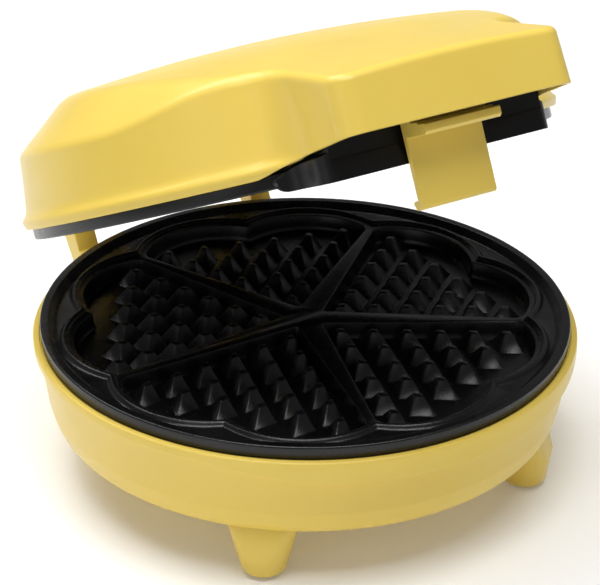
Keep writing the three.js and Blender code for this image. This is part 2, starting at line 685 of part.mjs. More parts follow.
// Cord inlet: a grommet through the rear wall, its bore open for the cord.
function inletPart() {
  const flangeStart = wallRadius(INLET_Z + INLET_FLANGE_R) + GAP;
  const innerFace = flangeStart - BASE_WALL - 7;
  const profile = [
    [CORD_R, innerFace], [INLET_R, innerFace], [INLET_R, flangeStart], [INLET_FLANGE_R, flangeStart],
    [INLET_FLANGE_R, flangeStart + 2.4], [INLET_R, flangeStart + 4], [INLET_R - 0.6, flangeStart + 8], [CORD_R, flangeStart + 8],
  ];
  const points = [...profile, profile[0]].map(([radius, along]) => new THREE.Vector2(radius, along));
  return new THREE.LatheGeometry(points, 24).translate(0, 0, INLET_Z);
}
addPart(model, 'cord_inlet', inletPart(), blackPlastic);

for (const [sideName, side] of [['left', -1], ['right', 1]]) {
  const ends = [side * PIN_IN, side * (POST_OUT - 0.5)].sort((a, b) => a - b);
  addPart(model, `hinge_pin_${sideName}`, crossRod(PIN_R, ends[0], ends[1], HINGE_Y, HINGE_Z), bareSteel);
}

// ---------------------------------------------------------------- lid housing

// Height of the lid's top along its middle, from the rear towards the handle.
function topHeight(y) {
  const ahead = LID_FLAT_Y - y;
  if (ahead <= 0) return LID_TOP;
  const bend = LID_FALL_R * LID_FALL_SLOPE;
  if (ahead < bend) return LID_TOP - ahead * ahead / (2 * LID_FALL_R);
  return LID_TOP - bend * bend / (2 * LID_FALL_R) - (ahead - bend) * LID_FALL_SLOPE;
}

// The space under the lid's top skin, lowered by an inset.
function underTop(inset) {
  const reach = 130;
  const sideView = [[reach, -20], [reach, LID_TOP - inset]];
  for (let y = LID_FLAT_Y; y > -reach; y -= 10) {
    sideView.push([y, topHeight(y) - inset]);
  }
  sideView.push([-reach - 5, topHeight(-reach - 5) - inset], [-reach - 5, -20]);
  const frontView = new THREE.Shape();
  frontView.moveTo(-reach, -20);
  for (let x = -reach; x <= reach; x += 13) {
    frontView.lineTo(x, LID_TOP - inset - x * x / (2 * LID_CROWN_R));
  }
  frontView.lineTo(reach, -20);
  const crown = new THREE.ExtrudeGeometry(frontView, { depth: 2 * reach + 20, bevelEnabled: false });
  crown.rotateX(Math.PI / 2).translate(0, reach + 10, 0);
  return solid(across(sideView, -reach, reach)).intersect(solid(crown));
}

// The handle's plan: square front corners rounded, hollow fillets to the round wall.
function handlePlan(inset) {
  const half = HANDLE_HALF - inset;
  const front = HANDLE_FRONT + inset;
  const corner = HANDLE_CORNER - inset;
  const blend = HANDLE_BLEND + inset;
  const roundR = LID_WALL_LOW_R - 1 - inset;
  const blendX = half + blend;
  const blendY = -Math.sqrt((roundR + blend) ** 2 - blendX ** 2);
  const meet = Math.atan2(-blendY, blendX);
  const shape = new THREE.Shape();
  shape.moveTo(0, -60);
  shape.lineTo(-40, -60);
  shape.absarc(-blendX, blendY, blend, meet, 0, true);
  shape.lineTo(-half, front + corner);
  shape.absarc(-half + corner, front + corner, corner, Math.PI, 1.5 * Math.PI, false);
  shape.absarc(half - corner, front + corner, corner, 1.5 * Math.PI, 2 * Math.PI, false);
  shape.lineTo(half, blendY);
  shape.absarc(blendX, blendY, blend, Math.PI, Math.PI - meet, true);
  shape.lineTo(40, -60);
  return shape;
}

// The handle's prism, its front face leaning out towards the bottom.
function handlePrism(inset, low) {
  const prism = raised(handlePlan(inset), low, LID_TOP + 10, 6);
  const position = prism.getAttribute('position');
  for (let i = 0; i < position.count; i += 1) {
    if (position.getY(i) > HANDLE_FRONT + HANDLE_CORNER + 1) continue;
    position.setY(i, position.getY(i) + (position.getZ(i) - HANDLE_CREASE_Z) * HANDLE_DRAFT);
  }
  return solid(prism);
}

// The lid's outer form, or its inner form when inset by the wall.
function lidForm(inset, low) {
  const rimTop = LID_RIM_Z + LID_RIM_H;
  const round = spunSolid([
    [0, low], [LID_RIM_R - inset, low], [LID_RIM_R - inset, rimTop - 0.6], [LID_RIM_R - 0.6 - inset, rimTop],
    [LID_WALL_LOW_R - inset, rimTop + 3], [LID_CREASE_R - inset, LID_CREASE_Z],
    [LID_CREASE_R - inset - 1, LID_TOP + 10], [0, LID_TOP + 10],
  ]);
  const coneTop = LID_TOP + 12;
  const coneR = LID_CREASE_R - inset * 1.2;
  const spread = (LID_CREASE_Z - low) / LID_CHAMFER_SLOPE;
  const topR = coneR - (coneTop - LID_CREASE_Z) / LID_CHAMFER_SLOPE;
  const cone = spunSolid([[0, low], [coneR + spread, low], [topR, coneTop], [0, coneTop]])
    .translate([0, -LID_CHAMFER_SHIFT, 0]);
  return round.intersect(cone).add(handlePrism(inset, low)).intersect(underTop(inset));
}

// Everything below the lower edge, which rises from the rim to the handle's front.
function belowEdge() {
  const edge = [
    [SWEEP_START, LID_RIM_Z], [-82, 5.6], [-85, 6.6], [-89, 7.8], [-94, 8.8], [-102, 9.8], [-112, 10.9],
    [HANDLE_FRONT, HANDLE_LOW_Z], [HANDLE_FRONT - 10, HANDLE_LOW_Z],
  ];
  return solid(across([[SWEEP_START, -30], ...edge, [HANDLE_FRONT - 10, -30]], -60, 60));
}

const LID_BOSS_Z = CLOSED_GAP - BOSS_TOP;
const LID_SCREW_L = 6;

// A rear arm of the lid, seen from the side, round at the hinge.
function armOutline() {
  const shape = new THREE.Shape();
  shape.moveTo(84, LID_RIM_Z + 1);
  shape.lineTo(HINGE_Y, HINGE_Z - KNUCKLE_R);
  shape.absarc(HINGE_Y, HINGE_Z, KNUCKLE_R, -Math.PI / 2, Math.PI / 2 - 0.3, false);
  shape.lineTo(96, 22);
  shape.lineTo(84, 24);
  return shape;
}

function lidPart() {
  const outer = lidForm(0, LID_RIM_Z);
  const pinHole = solid(crossRod(PIN_R + PIN_CLEAR, -POST_OUT, POST_OUT, HINGE_Y, HINGE_Z));
  const arms = [[-POST_IN + GAP, -PIN_IN], [PIN_IN, POST_IN - GAP]]
    .map(([left, right]) => solid(across(armOutline(), left, right)));
  let housing = joinAll([outer, ...arms]).subtract(pinHole).subtract(lidForm(LID_WALL, -30));
  const skin = lidForm(LID_WALL * 0.5, LID_RIM_Z);
  for (const angle of BOSS_ANGLES) {
    const x = BOSS_CIRCLE_R * Math.cos(degrees(angle));
    const y = BOSS_CIRCLE_R * Math.sin(degrees(angle));
    const boss = solid(rod(BOSS_R, LID_BOSS_Z, LID_TOP, x, y)).intersect(skin);
    const bore = solid(rod(SCREW_R + GAP, LID_BOSS_Z - 1, LID_BOSS_Z + LID_SCREW_L + 1, x, y));
    housing = housing.add(boss).subtract(bore);
  }
  const low = LINER_PANEL_Z + LINER_WALL + GAP;
  for (const x of [-LINER_SCREW_X, LINER_SCREW_X]) {
    const boss = solid(rod(BOSS_R - 1, low, LID_TOP, x, LINER_SCREW_Y)).intersect(skin);
    housing = housing.add(boss).subtract(solid(rod(SCREW_R + GAP, low - 1, low + 4, x, LINER_SCREW_Y)));
  }
  return geometryOf(housing.subtract(belowEdge()));
}

addPart(lid, 'lid_housing', lidPart(), yellowPlastic);

// Turns something drawn under a lower plate into its place over the upper one.
const flipped = (geometry) => geometry.clone().rotateY(Math.PI).translate(0, 0, CLOSED_GAP);

addPart(lid, 'upper_plate', flipped(platePart(UPPER_PLATE_R, -PATTERN_DEG)), coatedAluminium);
addPart(lid, 'upper_heating_element', flipped(elementPart()), bareSteel);
addPart(lid, 'upper_reflector', flipped(reflectorPart()), sheetMetal);
BOSS_ANGLES.forEach((angle, index) => {
  addPart(lid, `upper_plate_nut_${index + 1}`, flipped(nutPart(index)), bareSteel);
});

// Screws that hold the upper reflector to the lid, driven from the plate's side.
BOSS_ANGLES.forEach((angle, index) => {
  const x = BOSS_CIRCLE_R * Math.cos(degrees(angle));
  const y = BOSS_CIRCLE_R * Math.sin(degrees(angle));
  const headTop = CLOSED_GAP - REFLECTOR_Z - GAP;
  const head = solid(rod(SCREW_HEAD_R, headTop - SCREW_HEAD_H, headTop, x, y));
  const shaft = solid(rod(SCREW_R, headTop - 0.5, LID_BOSS_Z + LID_SCREW_L, x, y));
  addPart(lid, `lid_screw_${index + 1}`, head.add(shaft), bareSteel);
});

// ---------------------------------------------------------------- handle liner

// The liner seen from the front, shrunk by an inset, open above its neck.
function linerFront(inset, top) {
  const half = LINER_END_X - inset;
  const neck = linerNeckHalf - inset;
  const corner = LINER_CORNER - inset;
  const low = LINER_BOTTOM + inset;
  const shape = new THREE.Shape();
  shape.moveTo(-half, low + corner);
  shape.absarc(-half + corner, low + corner, corner, Math.PI, 1.5 * Math.PI, false);
  shape.absarc(half - corner, low + corner, corner, 1.5 * Math.PI, 2 * Math.PI, false);
  shape.lineTo(half, LINER_SHOULDER_Z);
  shape.lineTo(neck, LINER_NECK_Z);
  shape.lineTo(neck, top);
  shape.lineTo(-neck, top);
  shape.lineTo(-neck, LINER_NECK_Z);
  shape.lineTo(-half, LINER_SHOULDER_Z);
  return shape;
}

// The liner seen from above: rounded front corners, straight sides, then ends that flare out.
function linerPlan(inset) {
  const half = LINER_HALF - inset;
  const end = LINER_END_X - inset;
  const front = LINER_FRONT + inset;
  const corner = LINER_EDGE_R - inset;
  const shape = new THREE.Shape();
  shape.moveTo(-end, LINER_BACK + 1);
  shape.lineTo(-end, LINER_END_Y);
  shape.quadraticCurveTo(-half, LINER_END_Y, -half, LINER_FLARE_Y);
  shape.lineTo(-half, front + corner);
  shape.absarc(-half + corner, front + corner, corner, Math.PI, 1.5 * Math.PI, false);
  shape.absarc(half - corner, front + corner, corner, 1.5 * Math.PI, 2 * Math.PI, false);
  shape.lineTo(half, LINER_FLARE_Y);
  shape.quadraticCurveTo(half, LINER_END_Y, end, LINER_END_Y);
  shape.lineTo(end, LINER_BACK + 1);
  return shape;
}

// A front view carried back from one depth to another.
function lengthways(shape, front, back) {
  const geometry = new THREE.ExtrudeGeometry(shape, { depth: back - front, bevelEnabled: false, curveSegments: 5 });
  return geometry.rotateX(Math.PI / 2).translate(0, back, 0);
}

const linerNeckHalf = HANDLE_HALF - LID_WALL - GAP;

function linerPart() {
  const top = LINER_PANEL_Z + LINER_WALL;
  const outer = solid(lengthways(linerFront(0, top), LINER_FRONT - 1, LINER_BACK))
    .intersect(solid(raised(linerPlan(0), LINER_BOTTOM - 1, top + 1, 4)));
  const hollow = solid(lengthways(linerFront(LINER_WALL, top + 5), LINER_FRONT, LINER_BACK + 5))
    .intersect(solid(raised(linerPlan(LINER_WALL), LINER_BOTTOM - 1, top + 5, 4)));
  const upperStep = block(-60, 60, LINER_FRONT - 1, LINER_FRONT + LINER_STEP, LINER_STEP_Z, LINER_PANEL_Z);
  const plateRoom = rod(LOWER_PLATE_R + LINER_CLEAR, LINER_BOTTOM - 5, top + 5, 0, 0, SIDES);
  const roofArea = solid(block(-60, 60, HANDLE_FRONT - 5, LINER_FRONT + 1, LINER_PANEL_Z, top));
  const roof = handlePrism(LID_WALL + GAP, LINER_PANEL_Z - 5).intersect(roofArea);
  const ears = [[-CLIP_HALF - GAP - EAR_T, -CLIP_HALF - GAP], [CLIP_HALF + GAP, CLIP_HALF + GAP + EAR_T]]
    .map(([left, right]) => solid(block(left, right, CLIP_PIVOT_Y - 3, LINER_FRONT + 1, CLIP_PIVOT_Z - 3, top - 1)));
  const liner = joinAll([outer.subtract(hollow).subtract(solid(upperStep)), roof, ...ears]);
  const pinReach = CLIP_HALF + GAP + EAR_T + 1;
  const holes = [
    solid(plateRoom),
    solid(crossRod(CLIP_PIN_R + GAP, -pinReach, pinReach, CLIP_PIVOT_Y, CLIP_PIVOT_Z)),
    ...[-LINER_SCREW_X, LINER_SCREW_X]
      .map((x) => solid(rod(SCREW_R + GAP, LINER_PANEL_Z - 1, top + 1, x, LINER_SCREW_Y))),
  ];
  return geometryOf(cutAll(liner, holes));
}
addPart(lid, 'handle_liner', linerPart(), blackPlastic);

[['left', -LINER_SCREW_X], ['right', LINER_SCREW_X]].forEach(([sideName, x]) => {
  const headTop = LINER_PANEL_Z - GAP;
  const head = solid(rod(SCREW_HEAD_R, headTop - SCREW_HEAD_H, headTop, x, LINER_SCREW_Y));
  const shaft = solid(rod(SCREW_R, headTop - 0.5, LINER_PANEL_Z + LINER_WALL + 3.5, x, LINER_SCREW_Y));
  addPart(lid, `liner_screw_${sideName}`, head.add(shaft), bareSteel);
});

const pinEnd = CLIP_HALF + GAP + EAR_T - 0.2;
addPart(lid, 'clip_pin', crossRod(CLIP_PIN_R, -pinEnd, pinEnd, CLIP_PIVOT_Y, CLIP_PIVOT_Z), bareSteel);

// ---------------------------------------------------------------- clip

function clipPart() {
  const back = CLIP_FRONT + CLIP_T;
  const tabDepth = CLIP_FRONT - TAB_FRONT;
  const ridge = tabDepth / TAB_RIDGES;
  const tab = [[CLIP_FRONT, TAB_BOTTOM], [TAB_FRONT + 1, TAB_BOTTOM], [TAB_FRONT, TAB_BOTTOM + 1]];
  for (let step = 0; step < TAB_RIDGES; step += 1) {
    const y = TAB_FRONT + step * ridge;
    const top = TAB_TOP - (TAB_RIDGES - 1 - step) * 0.8;
    tab.push([y, top - 0.4], [y + 0.4, top], [y + ridge, top]);
  }
  const outline = [
    [back, CLIP_PIVOT_Z], [back, CLIP_BOTTOM + HOOK_T], [HOOK_TIP - 0.8, CLIP_BOTTOM + HOOK_T],
    [HOOK_TIP, CLIP_BOTTOM + HOOK_T - 0.8], [HOOK_TIP - 1.2, CLIP_BOTTOM],
    [CLIP_FRONT + 0.8, CLIP_BOTTOM], [CLIP_FRONT, CLIP_BOTTOM + 0.8], ...tab, [CLIP_FRONT, CLIP_PIVOT_Z],
  ];
  const plate = solid(across(outline, -CLIP_HALF, CLIP_HALF));
  const barrel = solid(crossRod(CLIP_BARREL_R, -CLIP_HALF, CLIP_HALF, CLIP_PIVOT_Y, CLIP_PIVOT_Z));
  const bore = crossRod(CLIP_PIN_R + GAP, -CLIP_HALF - 1, CLIP_HALF + 1, CLIP_PIVOT_Y, CLIP_PIVOT_Z);
  return plate.add(barrel).subtract(solid(bore))
    .translate([0, -CLIP_PIVOT_Y, -CLIP_PIVOT_Z]);
}
addPart(clip, 'latch_clip', clipPart(), yellowPlastic);
clip.position.set(0, CLIP_PIVOT_Y - HINGE_Y, CLIP_PIVOT_Z - HINGE_Z);

// ---------------------------------------------------------------- assembly

// Lid pieces are drawn closed; move them into the hinge's own frame before it opens.
for (const piece of lid.children) {
  piece.geometry.translate(0, -HINGE_Y, -HINGE_Z);
}
lid.add(clip);
lid.position.set(0, HINGE_Y, HINGE_Z);
lid.rotation.x = -degrees(LID_OPEN_DEG);
model.add(lid);

const waffleMaker = new THREE.Group();
waffleMaker.add(model);
waffleMaker.updateMatrixWorld(true);
const extent = new THREE.Box3().setFromObject(model, true);
const middle = extent.getCenter(new THREE.Vector3());
model.position.set(-middle.x, -middle.y, -extent.min.z);

export default waffleMaker;
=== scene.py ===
# %% [markdown]
# # A five-heart waffle maker
# The appliance is a yellow bowl on four feet, a yellow lid on a rear hinge, two black
# non-stick plates, a black liner inside the handle and a small yellow clip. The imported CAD
# model fixes where everything is. This lesson rebuilds the parts that show as smooth
# meshes, gives every part a procedural material, and lights it like a product on paper.

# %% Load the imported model
import bpy
import bmesh
import json
import math
import numpy as np
from mathutils import Matrix, Vector
from mathutils.geometry import tessellate_polygon


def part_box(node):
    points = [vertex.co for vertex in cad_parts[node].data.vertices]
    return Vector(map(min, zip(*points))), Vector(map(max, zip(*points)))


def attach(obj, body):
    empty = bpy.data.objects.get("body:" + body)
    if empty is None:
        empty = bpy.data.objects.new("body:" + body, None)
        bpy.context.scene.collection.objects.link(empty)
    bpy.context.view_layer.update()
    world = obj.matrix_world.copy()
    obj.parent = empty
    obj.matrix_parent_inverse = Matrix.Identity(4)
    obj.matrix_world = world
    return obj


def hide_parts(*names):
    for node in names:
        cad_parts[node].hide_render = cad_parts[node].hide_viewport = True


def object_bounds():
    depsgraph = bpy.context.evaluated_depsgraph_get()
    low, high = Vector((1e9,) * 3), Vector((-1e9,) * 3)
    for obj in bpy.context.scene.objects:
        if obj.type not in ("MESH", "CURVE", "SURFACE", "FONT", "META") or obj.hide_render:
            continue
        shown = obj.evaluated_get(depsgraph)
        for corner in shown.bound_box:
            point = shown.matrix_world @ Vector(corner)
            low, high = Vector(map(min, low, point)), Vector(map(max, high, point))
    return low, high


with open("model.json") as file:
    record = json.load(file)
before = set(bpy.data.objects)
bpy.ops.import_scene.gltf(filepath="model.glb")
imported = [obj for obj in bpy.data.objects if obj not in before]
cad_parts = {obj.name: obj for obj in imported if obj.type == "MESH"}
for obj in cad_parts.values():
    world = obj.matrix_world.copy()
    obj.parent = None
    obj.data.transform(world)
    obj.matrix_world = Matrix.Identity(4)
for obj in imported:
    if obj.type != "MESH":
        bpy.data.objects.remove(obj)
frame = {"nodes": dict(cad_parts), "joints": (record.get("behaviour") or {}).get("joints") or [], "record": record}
CAD_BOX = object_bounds()
print("nodes in the frame:", len(frame["nodes"]))

# %% [markdown]
# ## One drawing frame for the base and one for the lid
# It is easiest to draw both halves with the lid shut: millimetres, the lower plate's centre
# at the origin, the top of its lip at height 0, the handle towards -Y. Two matrices then
# carry the drawings to their real places. The lid's matrix also opens it about the hinge.

# %% Drawing frames
MM = 0.001
plate_low, plate_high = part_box("lower_plate")
CENTRE = Vector(((plate_low.x + plate_high.x) / 2, (plate_low.y + plate_high.y) / 2, plate_high.z))
HINGE = next(joint for joint in frame["joints"] if joint["name"] == "lid_hinge")
HINGE_AT = Vector(HINGE["pos_m"])
OPEN_ANGLE = math.radians(-HINGE["range_deg"][0])
BASE_FRAME = Matrix.Translation(CENTRE) @ Matrix.Scale(MM, 4)
LID_FRAME = (Matrix.Translation(HINGE_AT) @ Matrix.Rotation(-OPEN_ANGLE, 4, "X")
             @ Matrix.Translation(CENTRE - HINGE_AT) @ Matrix.Scale(MM, 4))
print("lid stands open by", round(math.degrees(OPEN_ANGLE), 1), "degrees")

# %% [markdown]
# ## The camera
# A long lens from the front left, about 28 degrees above the worktop. It is placed first,
# so that each piece can be judged from the view it will be seen in.

# %% Camera
VIEW_TURN = math.radians(32)
VIEW_RISE = math.radians(27.995)
VIEW_DISTANCE = 0.8505
FOCAL_SHARE = 2293.1 / 600          # focal length as a share of the picture's width
PAN, TILT, ROLL = math.radians(0.151), math.radians(0.426), math.radians(-0.378)


def add_camera():
    back = Vector((-math.sin(VIEW_TURN) * math.cos(VIEW_RISE),
                   -math.cos(VIEW_TURN) * math.cos(VIEW_RISE), math.sin(VIEW_RISE)))
    forward = -back
    right = forward.cross(Vector((0, 0, 1))).normalized()
    aim = Matrix.Rotation(PAN, 3, "Z") @ Matrix.Rotation(TILT, 3, right)
    forward = aim @ forward
    right = aim @ right
    right = Matrix.Rotation(ROLL, 3, forward) @ right
    up = right.cross(forward)
    data = bpy.data.cameras.new("view")
    data.sensor_width = 36
    data.lens = 36 * FOCAL_SHARE
    camera = bpy.data.objects.new("view", data)
    bpy.context.scene.collection.objects.link(camera)
    turn = Matrix((right, up, -forward)).transposed().to_4x4()
    camera.matrix_world = Matrix.Translation(CENTRE + back * VIEW_DISTANCE) @ turn
    bpy.context.scene.camera = camera
    return camera


camera = add_camera()
print("lens", round(camera.data.lens, 1), "mm")

# %% [markdown]
# ## Shared shader groups
# Moulded plastic, coating and metal all have a fine surface relief and a slow drift in
# colour or gloss. Both effects are node groups with named inputs, so each material only
# sets its own scale and strength.

# %% Shader groups


def new_group(name, inputs, outputs):
    group = bpy.data.node_groups.new(name, "ShaderNodeTree")
    for label, kind, value in inputs:
        socket = group.interface.new_socket(label, in_out="INPUT", socket_type=kind)
        if value is not None:
            socket.default_value = value
    for label, kind in outputs:
        group.interface.new_socket(label, in_out="OUTPUT", socket_type=kind)
    start = group.nodes.new("NodeGroupInput")
    end = group.nodes.new("NodeGroupOutput")
    return group, start, end


def relief_group():
    group, start, end = new_group(
        "surface_relief",
        [("Vector", "NodeSocketVector", None), ("Grain Scale", "NodeSocketFloat", 1500.0),
         ("Wave Scale", "NodeSocketFloat", 60.0), ("Wave Share", "NodeSocketFloat", 0.3)],
        [("Height", "NodeSocketFloat")])
    grain = group.nodes.new("ShaderNodeTexNoise")
    wave = group.nodes.new("ShaderNodeTexNoise")
    grain.inputs["Detail"].default_value = 3
    wave.inputs["Detail"].default_value = 1
    mix = group.nodes.new("ShaderNodeMix")
    group.links.new(start.outputs["Vector"], grain.inputs["Vector"])
    group.links.new(start.outputs["Vector"], wave.inputs["Vector"])
    group.links.new(start.outputs["Grain Scale"], grain.inputs["Scale"])
    group.links.new(start.outputs["Wave Scale"], wave.inputs["Scale"])
    group.links.new(start.outputs["Wave Share"], mix.inputs["Factor"])
    group.links.new(grain.outputs["Fac"], mix.inputs["A"])
    group.links.new(wave.outputs["Fac"], mix.inputs["B"])
    group.links.new(mix.outputs["Result"], end.inputs["Height"])
    return group


def drift_group():
    group, start, end = new_group(
        "slow_drift",
        [("Vector", "NodeSocketVector", None), ("Scale", "NodeSocketFloat", 12.0),
         ("Low", "NodeSocketFloat", 0.0), ("High", "NodeSocketFloat", 1.0)],
        [("Value", "NodeSocketFloat")])
    noise = group.nodes.new("ShaderNodeTexNoise")
    noise.inputs["Detail"].default_value = 4
    spread = group.nodes.new("ShaderNodeMapRange")
    spread.inputs["From Min"].default_value = 0.35
    spread.inputs["From Max"].default_value = 0.65
    group.links.new(start.outputs["Vector"], noise.inputs["Vector"])
    group.links.new(start.outputs["Scale"], noise.inputs["Scale"])
    group.links.new(noise.outputs["Fac"], spread.inputs["Value"])
    group.links.new(start.outputs["Low"], spread.inputs["To Min"])
    group.links.new(start.outputs["High"], spread.inputs["To Max"])
    group.links.new(spread.outputs["Result"], end.inputs["Value"])
    return group


RELIEF = relief_group()
DRIFT = drift_group()
print("shader groups:", RELIEF.name, DRIFT.name)

# %% [markdown]
# ## Materials
# One function builds every finish: a Principled shader whose colour drifts between two
# near tones, whose gloss drifts a little, and whose normal carries the fine relief. What is
# the same all over, such as metalness or coat, is set on the shader itself.

# %% Finishes


def finish(name, dark, light, rough, grain, bump, metallic=0.0, coat=0.0, wave_share=0.3,
           drift_scale=14.0, coat_rough=0.1, specular=0.5):
    material = bpy.data.materials.new(name)
    material.use_nodes = True
    tree = material.node_tree
    shader = tree.nodes["Principled BSDF"]
    shader.inputs["Metallic"].default_value = metallic
    shader.inputs["Coat Weight"].default_value = coat
    shader.inputs["Coat Roughness"].default_value = coat_rough
    shader.inputs["Specular IOR Level"].default_value = specular
    place = tree.nodes.new("ShaderNodeTexCoord")
    tone = tree.nodes.new("ShaderNodeGroup")
    tone.node_tree = DRIFT
    tone.inputs["Scale"].default_value = drift_scale
    colour = tree.nodes.new("ShaderNodeMix")
    colour.data_type = "RGBA"
    colour.inputs[6].default_value = (*dark, 1)
    colour.inputs[7].default_value = (*light, 1)
    gloss = tree.nodes.new("ShaderNodeGroup")
    gloss.node_tree = DRIFT
    gloss.inputs["Scale"].default_value = drift_scale * 3
    gloss.inputs["Low"].default_value = rough[0]
    gloss.inputs["High"].default_value = rough[1]
    relief = tree.nodes.new("ShaderNodeGroup")
    relief.node_tree = RELIEF
    relief.inputs["Grain Scale"].default_value = grain
    relief.inputs["Wave Share"].default_value = wave_share
    bumps = tree.nodes.new("ShaderNodeBump")
    bumps.inputs["Strength"].default_value = bump
    bumps.inputs["Distance"].default_value = 0.0002
    for node in (tone, gloss, relief):
        tree.links.new(place.outputs["Object"], node.inputs["Vector"])
    tree.links.new(tone.outputs["Value"], colour.inputs["Factor"])
    tree.links.new(colour.outputs[2], shader.inputs["Base Color"])
    tree.links.new(gloss.outputs["Value"], shader.inputs["Roughness"])
    tree.links.new(relief.outputs["Height"], bumps.inputs["Height"])
    tree.links.new(bumps.outputs["Normal"], shader.inputs["Normal"])
    return material


YELLOW = finish("yellow_plastic", (0.79, 0.575, 0.100), (0.83, 0.610, 0.115), (0.30, 0.38), 1800, 0.08,
                coat=0.08, coat_rough=0.12, specular=0.4)
BLACK_COAT = finish("black_coating", (0.003, 0.003, 0.0035), (0.007, 0.007, 0.0075), (0.22, 0.32), 2600, 0.35,
                    drift_scale=30, specular=0.42)
BLACK_PLASTIC = finish("black_plastic", (0.004, 0.004, 0.0045), (0.008, 0.008, 0.0085), (0.3, 0.4), 2200, 0.25,
                       specular=0.3)
STEEL = finish("bare_steel", (0.46, 0.46, 0.47), (0.58, 0.58, 0.59), (0.28, 0.42), 3000, 0.2, metallic=1.0)
SHEET = finish("sheet_metal", (0.60, 0.60, 0.61), (0.72, 0.72, 0.72), (0.24, 0.38), 900, 0.15, metallic=1.0)
RUBBER = finish("foot_rubber", (0.018, 0.018, 0.018), (0.035, 0.035, 0.035), (0.7, 0.85), 2600, 0.5)
CERAMIC = finish("ceramic", (0.68, 0.63, 0.54), (0.80, 0.76, 0.68), (0.5, 0.65), 2400, 0.3)
SLEEVE = finish("lead_sleeve", (0.44, 0.42, 0.37), (0.60, 0.57, 0.50), (0.75, 0.9), 4000, 0.8)
SLOT_MATERIAL = {
    "yellow_plastic": YELLOW, "black_plastic": BLACK_PLASTIC, "coated_aluminium": BLACK_COAT,
    "bare_steel": STEEL, "sheet_metal": SHEET, "foot_rubber": RUBBER, "ceramic": CERAMIC,
    "lead_sleeve": SLEEVE,
}
for entry in frame["record"]["subparts"]:
    node = frame["nodes"][entry["node"]]
    node.data.materials.clear()
    node.data.materials.append(SLOT_MATERIAL[entry["material_slot"]])
print("finishes:", len(SLOT_MATERIAL))

# %% [markdown]
# ## Small modelling tools
# Most pieces are lofts: rings of points joined by quads. A profile's sharp corners are
# swapped for short arcs first, because moulded plastic and castings have no sharp edges,
# and those small rounds are what catches the light.

# %% Arcs, rings and objects


def filleted(points, radii, steps=4):
    """A polyline whose inner corners are rounded; every corner gives steps + 1 points."""
    points = [np.array(p, float) for p in points]
    out = [points[0]]
    for before, corner, after, radius in zip(points, points[1:], points[2:], radii[1:]):
        a = (before - corner) / np.linalg.norm(before - corner)
        b = (after - corner) / np.linalg.norm(after - corner)
        half = math.acos(max(-1, min(1, float(a @ b)))) / 2
        reach = radius / math.tan(half)
        limit = 0.49 * min(np.linalg.norm(before - corner), np.linalg.norm(after - corner))
        reach = min(reach, limit)
        for step in range(steps + 1):
            t = step / steps
            start, end = corner + a * reach, corner + b * reach
            out.append((1 - t) ** 2 * start + 2 * t * (1 - t) * (corner * 0.9 + (start + end) * 0.05) + t * t * end)
    out.append(points[-1])
    return np.array(out)


def loft(rings, around=True, cap_first=False, cap_last=False):
    """Vertices and faces of a surface through equal rings; a cap closes an end to its middle."""
    rings = np.array(rings, float)
    rows, count = rings.shape[:2]
    vertices = [tuple(p) for p in rings.reshape(-1, 3)]
    faces = []
    for row in range(rows - 1):
        for i in range(count if around else count - 1):
            j = (i + 1) % count
            faces.append((row * count + i, row * count + j, (row + 1) * count + j, (row + 1) * count + i))
    for wanted, row in ((cap_first, 0), (cap_last, rows - 1)):
        if wanted:
            vertices.append(tuple(rings[row].mean(0)))
            middle = len(vertices) - 1
            for i in range(count):
                faces.append((row * count + i, row * count + (i + 1) % count, middle))
    return vertices, faces


def revolved(profile, count=192, centre=(0, 0), closed=False):
    """A profile of (radius, height) turned about a vertical axis."""
    profile = list(profile) + ([profile[0]] if closed else [])
    angles = np.linspace(0, 2 * math.pi, count, endpoint=False)
    rings = [np.stack([centre[0] + r * np.cos(angles), centre[1] + r * np.sin(angles),
                       np.full(count, z)], 1) for r, z in profile]
    return loft(rings)


def prism(outline, low, high):
    """A flat outline of (x, y) raised between two heights, with both ends closed."""
    count = len(outline)
    vertices = [(x, y, z) for z in (low, high) for x, y in outline]
    faces = [(i, (i + 1) % count, count + (i + 1) % count, count + i) for i in range(count)]
    faces += [tuple(range(count)), tuple(range(count, 2 * count))]
    return vertices, faces


def joined(*shapes):
    vertices, faces = [], []
    for shape_vertices, shape_faces in shapes:
        start = len(vertices)
        vertices += list(shape_vertices)
        faces += [tuple(start + i for i in face) for face in shape_faces]
    return vertices, faces


def moved(shape, matrix):
    return [tuple(matrix @ Vector(v)) for v in shape[0]], shape[1]


def set_shading(mesh, sharp_degrees):
    mesh.shade_smooth()
    mesh.set_sharp_from_angle(angle=math.radians(sharp_degrees))


def piece(name, shape, place, body, material, replaces=(), sharp=40, outward=True):
    """Makes a finished object from a drawing and gives it to a body."""
    mesh = bpy.data.meshes.new(name)
    mesh.from_pydata([tuple(place @ Vector(v)) for v in shape[0]], [], shape[1])
    build = bmesh.new()
    build.from_mesh(mesh)
    bmesh.ops.remove_doubles(build, verts=build.verts, dist=0.000005)
    if outward:
        bmesh.ops.recalc_face_normals(build, faces=build.faces)
    build.to_mesh(mesh)
    build.free()
    set_shading(mesh, sharp)
    mesh.materials.append(material)
    thing = bpy.data.objects.new(name, mesh)
    bpy.context.scene.collection.objects.link(thing)
    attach(thing, body)
    if replaces:
        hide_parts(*replaces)
    print(name, len(mesh.polygons), "faces")
    return thing


